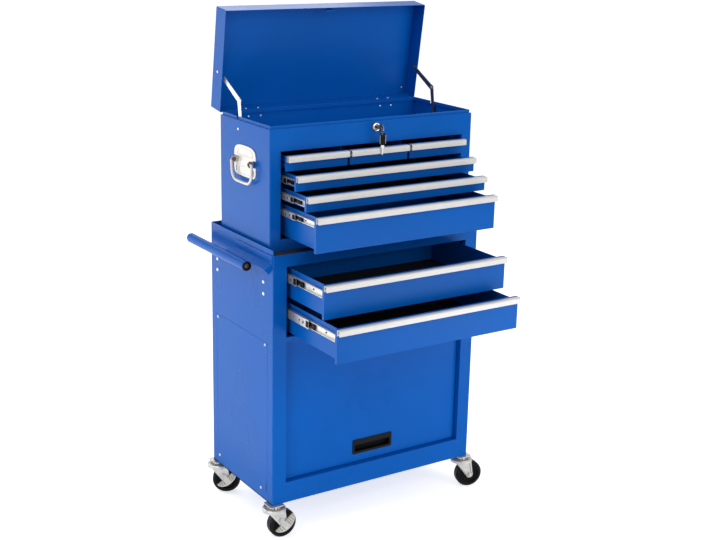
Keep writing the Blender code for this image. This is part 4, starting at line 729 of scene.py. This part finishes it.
def lid_fasteners():
    """Rivets of the stays, the hinges' upper leaves and the inside of the lid's top."""
    forward = lid_at(0, HINGE_Y - 1, HINGE_Z) - lid_at(0, HINGE_Y, HINGE_Z)
    downward = lid_at(0, HINGE_Y, HINGE_Z - 1) - lid_at(0, HINGE_Y, HINGE_Z)
    bm = bmesh.new()
    for side in (-1, 1):
        dome(bm, at(side * CHEST_HALF, *STAY_RIVET_ON_LID), (side, 0, 0), *STAY_RIVET_HEAD)
        for x in hinge_rivets(side):
            place = lid_at(x, CHEST_REAR_INSIDE, HINGE_Z + HINGE_RIVET_RISE)
            dome(bm, place, forward, *HINGE_RIVET_HEAD)
        place = lid_at(side * LID_TOP_RIVET_X, LID_TOP_RIVET_Y, LID_TOP_INSIDE)
        dome(bm, place, downward, *LID_TOP_RIVET_HEAD)
    keep("lid_rivets", bm, BRIGHT_ZINC, "lid")


def lid_catch():
    """The bent hook behind the lid's front edge."""
    bm = bmesh.new()
    loops = [[bm.verts.new(lid_at(x, y, z)) for y, z in CATCH_OUTLINE]
             for x in (-CATCH_HALF, CATCH_HALF)]
    join_rings(bm, *loops)
    for loop in loops:
        bm.faces.new(loop)
    keep("lid_catch", bm, BLUE, "lid")


def panel_seam_shade():
    """Painted shade as dark strips: hems along the side panels' feet and a slot beside each front
    screw.
    """
    bm = bmesh.new()
    for side in (-1, 1):
        for front, bottom, rear, top, corner in PANEL_SEAM_SHADES:
            slab(bm, rounded(front, bottom, rear, top, corner, 2), at(side * BASE_HALF, 0, 0),
                 DEPTH, UP, -SEAM_RELIEF, SEAM_RELIEF)
    keep("panel_seam_shade", bm, DARK_AND_SHADE, "cabinet")


def link_outline(start, end):
    """The outline of a flat link with round ends, wider at the knee."""
    way = (Vector(end) - Vector(start)).normalized()
    across = Vector((-way.y, way.x))
    points = []
    for place, radius, first in ((start, STAY_HALF, 90), (end, STAY_KNEE_HALF, -90)):
        for turn in degrees(first, first + 181, 18):
            off = (way * cos(turn) + across * sin(turn)) * radius
            points.append(tuple(Vector(place) + off))
    return points


def stay_links():
    """Pressed steel faces of the lid stays, round at both ends."""
    for side, hand in HANDS:
        # The right-hand stays are painted in the darker dull finish as painted shade; the left-hand
        # ones are bright zinc.
        finish = BRIGHT_ZINC if side < 0 else DULL_STEEL_AND_SHADE
        for name, end, inside, outside in STAY_FACES:
            outline = link_outline(end, STAY_KNEE)
            bm = bmesh.new()
            slab(bm, outline, at(0, 0, 0), DEPTH, UP, side * inside, side * outside)
            keep("stay_face_%s_%s" % (name, hand), bm, finish, "lid_stay_%s_%s" % (name, hand))


def stay_rivets():
    """Rivets at the stays' knees and at their upper ends."""
    for side, hand in HANDS:
        bm = bmesh.new()
        for (x, radius, height), way in ((KNEE_RIVET_INSIDE, -side), (KNEE_RIVET_OUTSIDE, side)):
            dome(bm, at(side * x, *STAY_KNEE), (way, 0, 0), radius, height)
        keep("stay_knee_rivet_" + hand, bm, BRIGHT_ZINC, "lid_stay_lower_" + hand)
        bm = bmesh.new()
        x, radius, height = STAY_TOP_RIVET
        dome(bm, at(side * x, *STAY_TOP), (-side, 0, 0), radius, height)
        keep("stay_top_rivet_" + hand, bm, DULL_STEEL_AND_SHADE, "lid_stay_upper_" + hand)


def lock_details():
    """The turning plug in the lock, the bead round it, the dull steel of the key, and painted shade
    on the lock.
    """
    centre = at(0, 0, LOCK_Z)
    bm = bmesh.new()
    lathe(bm, LOCK_PLUG, centre, DEPTH, steps=24)
    keep("lock_plug", bm, BRASS, "key")
    bm = bmesh.new()
    lathe(bm, curve(*LOCK_BEAD, around(8)), centre, DEPTH, steps=28, closed=True)
    keep("lock_bead", bm, CHROME, "cabinet")
    # The lock's faces behind its front and its underside are painted dull steel as painted shade.
    paint("lid_lock", DULL_STEEL_AND_SHADE, lambda x, y, z: y > LOCK_SHADE_Y or z < LOCK_Z - LOCK_SHADE_DROP)
    paint("key", DULL_STEEL_AND_SHADE, lambda x, y, z: True)


def spare_key():
    """A ring through the key's bow, and on it a spare key with a moulded head."""
    middle = at(0, KEY_HOLE_Y, LOCK_Z - RING_DROP) - UP * RING_REACH
    facing = radians(RING_FACING)
    way = Vector((cos(facing), sin(facing), 0))
    ring = [middle + way * RING_REACH * sin(turn) + UP * RING_REACH * cos(turn)
            for turn in around(32)]
    bm = bmesh.new()
    tube(bm, ring, RING_WIRE, closed=True)
    keep("key_ring", bm, DULL_STEEL_AND_SHADE, "cabinet")

    facing = radians(SPARE_FACING)
    across = Vector((cos(facing), sin(facing), 0))
    origin = middle - Vector((0, SPARE_FORWARD, RING_REACH - SPARE_RISE))
    bm = bmesh.new()
    slab(bm, rounded(*SPARE_HEAD, SPARE_HEAD_CORNER, 6), origin, across, UP, -SPARE_HEAD_HALF,
         SPARE_HEAD_HALF, holes=(circle(0, 0, SPARE_HOLE),))
    for u in SPARE_RIBS:
        rib = rounded(u - 0.0008, -0.0245, u + 0.0008, -0.0050, 0.0007, 2)
        slab(bm, rib, origin, across, UP, 0.0012, 0.0021)
        slab(bm, rib, origin, across, UP, -0.0021, -0.0012)
    keep("spare_key_head", bm, BLACK, "cabinet")
    bm = bmesh.new()
    for u in SPARE_EDGES:
        slab(bm, rounded(u - 0.0009, -0.0235, u + 0.0009, -0.0010, 0.0008, 2), origin, across, UP,
             -0.0018, 0.0018)
    keep("spare_key_edges", bm, DULL_STEEL_AND_SHADE, "cabinet")
    bm = bmesh.new()
    slab(bm, SPARE_BLADE, origin, across, UP, -SPARE_BLADE_HALF, SPARE_BLADE_HALF)
    slab(bm, SPARE_GROOVE, origin, across, UP, 0.0008, 0.0012)
    keep("spare_key_blade", bm, BRIGHT_ZINC, "cabinet")


def liners():
    """A ribbed rubber mat in the bottom of every drawer."""
    for drawer in DRAWERS:
        front = drawer.face_y + LINER_FRONT_MARGIN
        rear = drawer.face_y + drawer.depth - LINER_REAR_MARGIN
        outline = [(front, 0.0), (front, LINER_SHEET)]
        for k in range(int((rear - front) / LINER_PITCH)):
            start = front + LINER_PITCH * k
            outline += [(start + along, height) for along, height in LINER_RIB]
        outline += [(rear, LINER_SHEET), (rear, 0.0)]
        half = drawer.half - LINER_SIDE_MARGIN
        bm = bmesh.new()
        slab(bm, outline, at(drawer.centre, 0, drawer.floor + LINER_LIFT), DEPTH, UP, -half, half)
        keep(drawer.name + "_liner", bm, LINER, drawer.name)


def strip(bm, slide, side, start, half, shape):
    """A strip on a slide, from start along the depth; half is that of the channel it lies on."""
    front, rear, bottom, top, near, far, corner = shape
    span = sorted((side * (start + front), side * (start + rear)))
    slab(bm, rounded(span[0], bottom * half, span[1], top * half, corner, 2),
         at(side * slide.box_half, 0, slide.z), (0, side, 0), UP, near, far)


def slide_details():
    """Zinc channels, the levers and screws in them, and painted shade as dark discs in the middle
    members' holes.
    """
    for slide in SLIDES:
        inner = slide.half - INNER_LESS
        middle = slide.half - MIDDLE_LESS

        def on_channel(x, y, z):
            return (abs(x) > slide.box_half + CHANNEL_OUT and y > slide.face_y + CHANNEL_START
                    and abs(z - slide.z) < inner + CHANNEL_MARGIN)

        paint(slide.drawer, BRIGHT_ZINC, on_channel)
        ribs, levers, screws, stops = bmesh.new(), bmesh.new(), bmesh.new(), bmesh.new()
        holes, rings, caps = bmesh.new(), bmesh.new(), bmesh.new()
        for side in (-1, 1):
            out = (side, 0, 0)
            for rib in CHANNEL_RIBS:
                strip(ribs, slide, side, slide.face_y, inner, rib)
            for back in SLIDE_SCREWS:
                place = at(side * (slide.box_half + INNER_WEB), slide.face_y + back, slide.z)
                screw(screws, place, out, *SLIDE_SCREW_HEAD)
            strip(stops, slide, side, slide.face_y, inner, SLIDE_STOP)
            for part in LEVER_PARTS:
                strip(levers, slide, side, slide.face_y + slide.lever, inner, part)
            for back, radius in MIDDLE_HOLES:
                place = at(side * (slide.box_half + MIDDLE_WEB), slide.middle_front + back, slide.z)
                hole_shade = [(radius * share, height) for share, height in SLIDE_HOLE_SHADE]
                ring = [(radius * share, height) for share, height in SLIDE_RING]
                # Each hole is a dark disc painted as its shade, with a zinc ring round it.
                lathe(holes, hole_shade, place, out, steps=14)
                lathe(rings, ring, place, out, steps=18, closed=True)
            strip(caps, slide, side, slide.middle_front, middle, MIDDLE_CAP)
        moving = slide.drawer + "_slides"
        keep(slide.drawer + "_channel_ribs", ribs, BRIGHT_ZINC, slide.drawer)
        keep(slide.drawer + "_slide_levers", levers, BLACK, slide.drawer)
        keep(slide.drawer + "_slide_screws", screws, DARK_AND_SHADE, slide.drawer)
        keep(slide.drawer + "_slide_hole_shades", holes, DARK_AND_SHADE, moving)
        keep(slide.drawer + "_slide_rings", rings, ZINC, moving)
        keep(slide.drawer + "_slide_stops", stops, BLACK, slide.drawer)
        keep(slide.drawer + "_slide_caps", caps, BLACK, moving)
    for shell, inside, outside, channels in OUTER_CHANNELS:
        def on_outer(x, y, z):
            return inside < abs(x) < outside and any(abs(z - height) < half + OUTER_CHANNEL_MARGIN
                                                     for height, half in channels)

        paint(shell, ZINC, on_outer)


def castor_ways(place):
    """A castor's centre on the floor, the way its wheel trails and the way of its axle."""
    x, y, turn = CASTORS[place]
    angle = radians(turn)
    trail_way = Vector((cos(angle), sin(angle), 0))
    axle_way = Vector((-sin(angle), cos(angle), 0))
    return at(x, y, 0), trail_way, axle_way


def race_balls(place):
    """The balls of the swivel's race."""
    centre = castor_ways(place)[0]
    bm = bmesh.new()
    for turn in around(RACE_BALLS, 0.5):
        off = Vector((RACE_REACH * cos(turn), RACE_REACH * sin(turn), RACE_HEIGHT))
        lathe(bm, RACE_BALL, centre + off, UP, steps=8)
    keep("race_balls_" + place, bm, DULL_STEEL_AND_SHADE, "cabinet")


def fork_ribs(place):
    """The pressed rim on the fork's legs; the braked side has none, as the pedal lies there."""
    centre, trail_way, _ = castor_ways(place)
    foot = curve(TRAIL, WHEEL_RADIUS, LEG_FOOT, LEG_FOOT, degrees(200, 351, 25))
    foot_inside = curve(TRAIL, WHEEL_RADIUS, RIM_FOOT, RIM_FOOT, degrees(205, 346, 20))
    hull = [(-0.0195, 0.0735), *foot, (0.0205, 0.0700), (0.0195, 0.0735)]
    inside = [(-0.0158, 0.0717), *foot_inside, (0.0186, 0.0695), (0.0178, 0.0717)]
    bm = bmesh.new()
    for side in (1,) if place in BRAKED else (-1, 1):
        near, far = sorted((-side * (LEG_OUT - RIM_SUNK), -side * (LEG_OUT + RIM_RISE)))
        slab(bm, hull, centre, trail_way, UP, near, far, holes=(inside,))
    # The rim is painted darker than the fork, as painted shade along it.
    keep("fork_ribs_" + place, bm, DULL_STEEL_AND_SHADE, "castor_" + place)


def axle_nuts(place):
    """A nut and bolt end on the axle, or a flat rivet beside the pedal."""
    centre, trail_way, axle_way = castor_ways(place)
    bm = bmesh.new()
    for side in (-1, 1):
        out = axle_way * side
        seat = centre + trail_way * TRAIL + axle_way * (NUT_OUT * side) + UP * WHEEL_RADIUS
        if place in BRAKED and side < 0:
            lathe(bm, FLAT_RIVET, seat, out, steps=18)
        else:
            lathe(bm, NUT, seat, out, steps=6)
            lathe(bm, BOLT_END, seat, out, steps=14)
    keep("axle_nuts_" + place, bm, ZINC, "castor_" + place)


def wheel_rings(place):
    """Rings on the wheel's sides and round its hub, and the hub's own black."""
    centre, trail_way, axle_way = castor_ways(place)
    wheel_centre = centre + trail_way * TRAIL + UP * WHEEL_RADIUS
    bm = bmesh.new()
    for side in (-1, 1):
        out = axle_way * side
        for low, high in WHEEL_RINGS:
            lathe(bm, [(low, 0.0080), (high, 0.0080), (high, 0.0092), ((low + high) / 2, 0.0096),
                       (low, 0.0092)], wheel_centre, out, steps=40, closed=True)
        lathe(bm, HUB_RING, wheel_centre, out, steps=28, closed=True)
    keep("wheel_rings_" + place, bm, BLACK, "wheel_" + place)

    def on_hub(x, y, z):
        off = at(x, y, z) - wheel_centre
        return (off - axle_way * off.dot(axle_way)).length < HUB_REACH

    paint("castor_wheel_" + place, BLACK, on_hub)


def pedal_ribs(place):
    """Ribs across a brake pedal's tread and along its edge, left out over the pivot."""
    bm = bmesh.new()
    for k in range(PEDAL_RIBS):
        u = PEDAL_RIB_START + PEDAL_RIB_PITCH * k
        if abs(u) < PEDAL_PIVOT_CLEAR:
            continue
        share = (u - PEDAL_MIDDLE) / PEDAL_HALF
        depth = PEDAL_TREAD * sqrt(1 - share * share) - PEDAL_MARGIN
        rib = rounded(u - 0.0010, -depth, u + 0.0010, -0.0035, 0.0008, 2)
        slab(bm, rib, (0, 0, 0), (1, 0, 0), DEPTH, PEDAL_FACE, 0.0027)
    for low, high in PEDAL_EDGE_RIBS:
        rib = rounded(low, -0.0026, high, -0.0004, 0.0009, 3)
        slab(bm, rib, (0, 0, 0), (1, 0, 0), DEPTH, PEDAL_FACE, 0.0025)
    x, y, turn = CASTORS[place]
    slope = radians(PEDAL_SLOPE)
    placed = Matrix(((cos(slope), -sin(slope), 0, TRAIL),
                     (0, 0, -1, -LEG_OUT - 0.0003),
                     (sin(slope), cos(slope), 0, WHEEL_RADIUS),
                     (0, 0, 0, 1)))
    flare = Matrix.Rotation(radians(-PEDAL_FLARE), 4, "X")
    tilt = Matrix.Translation((0, PEDAL_CHORD_RISE, 0)) @ flare
    swivel = Matrix.Translation(at(x, y, 0)) @ Matrix.Rotation(radians(turn), 4, "Z")
    bmesh.ops.transform(bm, matrix=swivel @ placed @ tilt, verts=bm.verts)
    # The ribs are painted darker than the pedal, as painted shade.
    keep("pedal_ribs_" + place, bm, DULL_STEEL_AND_SHADE, "brake_pedal_" + place)


def castor_details():
    """Balls, fork ribs, nuts, wheel rings and pedal ribs of every castor."""
    for place in CASTORS:
        race_balls(place)
        fork_ribs(place)
        axle_nuts(place)
        wheel_rings(place)
        if place in BRAKED:
            pedal_ribs(place)


def bulging(half, rise, share, steps):
    """The upper half of a squared ellipse; the smaller the share, the squarer."""
    points = []
    for k in range(steps + 1):
        turn = pi * k / steps
        flat, tall = cos(turn), sin(turn)
        points.append((copysign(half * abs(flat) ** share, flat), rise * abs(tall) ** share))
    return points


def plate_outline():
    """A pressed handle plate: a broad lobe above, a squarer foot and a notch at each ear."""
    halves = ((1, PLATE_RISE, PLATE_LOBE_SHARE), (-1, PLATE_FALL, PLATE_FOOT_SHARE))
    points = []
    for way, reach, share in halves:
        points += [(way * u, way * (PLATE_NOTCH + v))
                   for u, v in bulging(PLATE_HALF, reach - PLATE_NOTCH, share, 16)]
        points += [(-way * BAIL_EAR, way * PLATE_NOTCH), (-way * BAIL_EAR, -way * PLATE_NOTCH)]
    return points


def bail_plate(side, hand):
    """A pressed plate with two ears, a raised lobe, a raised panel, slots and rivets."""
    along = (0, side, 0)
    face = at(side * (PLATE_BACK + PLATE_SHEET), BAIL_Y, BAIL_Z)
    bm = bmesh.new()
    slots = [rounded(u - 0.0018, -0.0310, u + 0.0018, -0.0150, 0.0017, 3) for u in PLATE_SLOTS]
    slab(bm, plate_outline(), at(side * PLATE_BACK, BAIL_Y, BAIL_Z), along, UP, 0, PLATE_SHEET,
         holes=slots)
    ear = [(-0.0008, -0.0075), *curve(EAR_OUT, 0.0, 0.0060, 0.0075, degrees(-90, 91, 15)),
           (-0.0008, 0.0075)]
    for end in (-1, 1):
        slab(bm, ear, face, (side, 0, 0), UP, -side * end * (BAIL_EAR - PLATE_SHEET),
             -side * end * BAIL_EAR, holes=(circle(EAR_OUT, 0, EAR_BORE),))
    lobe = [(u, LOBE_LOW + v) for u, v in bulging(LOBE_HALF, LOBE_RISE, PLATE_LOBE_SHARE, 24)]
    inner = [(u * 0.93, 0.0146 + (v - LOBE_LOW) * 0.83) for u, v in lobe]
    slab(bm, lobe, face, along, UP, -PLATE_BEAD_SUNK, 0.0008, holes=(inner,))
    panel = rounded(-0.0300, -0.0330, 0.0300, -0.0130, 0.0060, 5)
    inner = rounded(-0.0285, -0.0315, 0.0285, -0.0145, 0.0048, 5)
    slab(bm, panel, face, along, UP, -PLATE_BEAD_SUNK, 0.0007, holes=(inner,))
    for u in PLATE_RIVETS:
        dome(bm, face + Vector((0, u, 0.0010)), (side, 0, 0), *PLATE_RIVET_HEAD)
    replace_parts(keep("bail_plate_" + hand, bm, PLATE, "cabinet"), "handle_plate_" + hand)


def bail_washers(side, hand):
    """A washer outside each ear and the pivot's head inside it."""
    bm = bmesh.new()
    for end in (-1, 1):
        for profile, seat, closed in ((BAIL_WASHER, BAIL_EAR + 0.0002, True),
                                      (BAIL_PIVOT_HEAD, BAIL_EAR - PLATE_SHEET - 0.0002, False)):
            place = at(side * BAIL_X, BAIL_Y + end * seat, BAIL_Z)
            lathe(bm, profile, place, (0, end, 0), steps=18, closed=closed)
    keep("bail_washers_" + hand, bm, BRASS, "bail_handle_" + hand)


def bail_hoop(side, hand):
    """The bent wire: out from each ear, a tight bend, and wide corners to a straight grip."""
    path = [(BAIL_EAR - 0.0046, 0.0)]
    path += curve(BAIL_HALF - BAIL_BEND, -BAIL_BEND, BAIL_BEND, BAIL_BEND, degrees(90, -1, -15))
    path += [(BAIL_HALF - 0.0014, -0.0150)]
    path += [(BAIL_HALF - 0.0275 + 0.0255 * cos(a) ** 0.92, -0.0215 - 0.0285 * sin(a) ** 0.95)
             for a in degrees(6, 90, 7)]
    path += [(0.0120, -0.0505)]
    path += [(-y, z) for y, z in reversed(path)]
    bm = bmesh.new()
    tube(bm, [at(side * BAIL_X, BAIL_Y + y, BAIL_Z + z) for y, z in path], BAIL_WIRE, steps=16)
    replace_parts(keep("bail_hoop_" + hand, bm, PLATE, "bail_handle_" + hand), "bail_handle_" + hand)


def carry_handles():
    """The plates, washers and hoops of both carrying handles."""
    for side, hand in HANDS:
        bail_plate(side, hand)
        bail_washers(side, hand)
        bail_hoop(side, hand)


def push_handle():
    """The slanted bracket with its cheek, the tube welded to its edge, and the rivets."""
    slope = Vector((BRACKET_WALL - TUBE_X, BRACKET_BEND - TUBE_Z)).normalized()
    across = Vector((-slope.y, slope.x)) * BRACKET_SHEET / 2
    edge = Vector((TUBE_X, TUBE_Z)) + slope * (TUBE_RADIUS - 0.0005)
    outline = [(BRACKET_WALL, BRACKET_TOP), (BRACKET_WALL - BRACKET_SHEET, BRACKET_TOP),
               (BRACKET_WALL - BRACKET_SHEET, BRACKET_BEND), tuple(edge + across),
               tuple(edge - across), (BRACKET_WALL, BRACKET_BEND - BRACKET_SHEET)]
    bm = bmesh.new()
    slab(bm, outline, at(0, 0, 0), (1, 0, 0), UP, -BRACKET_SPAN[0], -BRACKET_SPAN[1])
    for corner in bm.verts:
        if corner.co.y - SHIFT_Y > 0:
            corner.co.y -= ((corner.co.x - SHIFT_X - edge.x) * BRACKET_LEAN[0]
                            + (corner.co.z - edge.y) * BRACKET_LEAN[1])
    cheek = [(BRACKET_WALL, BRACKET_BEND - BRACKET_SHEET / 2), tuple(edge),
             (edge.x + CHEEK_DEPTH, edge.y - CHEEK_DEPTH),
             (BRACKET_WALL, BRACKET_BEND - BRACKET_SHEET - CHEEK_DEPTH)]
    slab(bm, cheek, at(0, 0, 0), (1, 0, 0), UP, -BRACKET_SPAN[0] - 0.0001,
         -BRACKET_SPAN[0] - BRACKET_SHEET)
    bore = TUBE_RADIUS - TUBE_WALL
    front, rear = TUBE_ENDS
    lathe(bm, [(bore, front), (TUBE_RADIUS - TUBE_EASE, front), (TUBE_RADIUS, front + TUBE_EASE),
               (TUBE_RADIUS, rear - TUBE_EASE), (TUBE_RADIUS - TUBE_EASE, rear), (bore, rear)],
          at(TUBE_X, 0, TUBE_Z), DEPTH, steps=48, closed=True)
    for y in BRACKET_RIVETS:
        dome(bm, at(BRACKET_WALL - BRACKET_SHEET, y, BRACKET_RIVET_Z), (-1, 0, 0),
             *BRACKET_RIVET_HEAD)
    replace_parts(keep("push_handle_welded", bm, BLUE, "cabinet"), "push_handle")


def handle_caps():
    """Caps plugged into the push handle's ends, each with a recess and a small core in it."""
    centre = at(TUBE_X, 0, TUBE_Z)
    plug = TUBE_RADIUS - TUBE_WALL - 0.0003
    rim = TUBE_RADIUS - 0.0006
    for place, end, way in (("front", TUBE_ENDS[0], -1), ("rear", TUBE_ENDS[1], 1)):
        seat = end + way * 0.0002
        crown = seat + way * 0.0040
        profile = [(0, seat - way * 0.0010), (plug - 0.002, seat - way * 0.0010),
                   (plug - 0.002, seat - way * 0.0120), (plug, seat - way * 0.0120), (plug, seat),
                   (rim, seat), (rim, seat + way * 0.0018), (rim - 0.0006, seat + way * 0.0032),
                   (rim - 0.0020, crown), (0.0068, crown), (0.0066, crown - way * 0.0004),
                   (0.0066, crown - way * 0.0032), (0, crown - way * 0.0032)]
        bm = bmesh.new()
        lathe(bm, profile, centre, DEPTH, steps=36)
        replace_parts(keep("handle_end_cap_" + place, bm, BLACK, "cabinet"), "handle_cap_" + place)
        base = crown - way * 0.0034
        tip = base + way * 0.0016
        core = [(0, base), (0.0060, base), (0.0060, base + way * 0.0010), (0.0040, tip), (0, tip)]
        bm = bmesh.new()
        lathe(bm, core, centre, DEPTH, steps=24)
        keep("handle_cap_core_" + place, bm, BRASS, "cabinet")


def shown_rays(add, link):
    """1 for rays from the camera, mirrors and glass, 0 for the light that falls on the object."""
    rays = add("ShaderNodeLightPath")
    total = rays.outputs["Is Camera Ray"]
    for kind in ("Is Glossy Ray", "Is Transmission Ray"):
        both = add("ShaderNodeMath", operation="MAXIMUM")
        link(total, both.inputs[0])
        link(rays.outputs[kind], both.inputs[1])
        total = both.outputs[0]
    return total


def pale_floor():
    """A pale floor under the cart, lifted to white where it is looked at."""
    bm = bmesh.new()
    bmesh.ops.create_grid(bm, x_segments=2, y_segments=2, size=FLOOR_REACH)
    mesh = bpy.data.meshes.new("floor")
    bm.to_mesh(mesh)
    bm.free()
    ground = bpy.data.objects.new("floor", mesh)
    bpy.context.scene.collection.objects.link(ground)
    material, shader, add, link = node_tree("floor_white")
    shader.inputs["Base Color"].default_value = (FLOOR_TONE, FLOOR_TONE, FLOOR_TONE, 1.0)
    shader.inputs["Roughness"].default_value = 0.9
    shader.inputs["Specular IOR Level"].default_value = 0.1
    shader.inputs["Emission Color"].default_value = WHITE
    lift = add("ShaderNodeMath", operation="MULTIPLY")
    link(shown_rays(add, link), lift.inputs[0])
    lift.inputs[1].default_value = FLOOR_LIFT
    link(lift.outputs[0], shader.inputs["Emission Strength"])
    mesh.materials.append(material)


def white_surround():
    """A soft surround for the light, white to the camera, mirrors and glass."""
    world = bpy.data.worlds.new("studio")
    bpy.context.scene.world = world
    world.use_nodes = True
    tree = world.node_tree
    add, link = adder(tree), tree.links.new
    soft = tree.nodes["Background"]
    soft.inputs["Color"].default_value = WHITE
    soft.inputs["Strength"].default_value = WORLD_LEVEL
    white = add("ShaderNodeBackground", in_Color=WHITE, in_Strength=1.0)
    choice = add("ShaderNodeMixShader")
    link(shown_rays(add, link), choice.inputs[0])
    link(soft.outputs[0], choice.inputs[1])
    link(white.outputs[0], choice.inputs[2])
    link(choice.outputs[0], tree.nodes["World Output"].inputs["Surface"])


def lamps():
    """Soft lamps round the cart, none of them in view."""
    for name, place, target, size, power, plain in LAMPS:
        light = bpy.data.lights.new(name, "AREA")
        light.shape = "RECTANGLE"
        light.size, light.size_y = size
        light.energy = power
        light.diffuse_factor = plain
        lamp = bpy.data.objects.new(name, light)
        bpy.context.scene.collection.objects.link(lamp)
        lamp.location = place
        lamp.visible_camera = False
        aim = Vector(target) - Vector(place)
        lamp.rotation_euler = aim.to_track_quat("-Z", "Y").to_euler()


def camera():
    """The camera, to the left of the cart and a little above it."""
    yaw, pitch, roll = (radians(a) for a in (CAMERA_YAW, CAMERA_PITCH, CAMERA_ROLL))
    ahead = Vector((-sin(yaw) * cos(pitch), cos(yaw) * cos(pitch),
                    -sin(pitch)))
    right = Vector((cos(yaw), sin(yaw), 0.0))
    up = right.cross(ahead)
    right_rolled = right * cos(roll) + up * sin(roll)
    up_rolled = up * cos(roll) - right * sin(roll)
    target = Vector(CAMERA_TARGET) + Vector((SHIFT_X, SHIFT_Y, CAMERA_FLOOR))
    data = bpy.data.cameras.new("camera")
    data.lens = CAMERA_LENS
    data.sensor_width = CAMERA_SENSOR
    data.sensor_fit = "HORIZONTAL"
    eye = bpy.data.objects.new("camera", data)
    bpy.context.scene.collection.objects.link(eye)
    columns = (right_rolled, up_rolled, -ahead)
    turn = Matrix([[column[row] for column in columns] for row in range(3)])
    eye.matrix_world = Matrix.Translation(target - ahead * CAMERA_DISTANCE) @ turn.to_4x4()
    bpy.context.scene.camera = eye


dress_frame()
body_fasteners()
lid_fasteners()
lid_catch()
panel_seam_shade()
stay_links()
stay_rivets()
lock_details()
spare_key()
liners()
slide_details()
castor_details()
carry_handles()
push_handle()
handle_caps()
pale_floor()
white_surround()
lamps()
camera()
bpy.context.scene.view_settings.view_transform = "Standard"
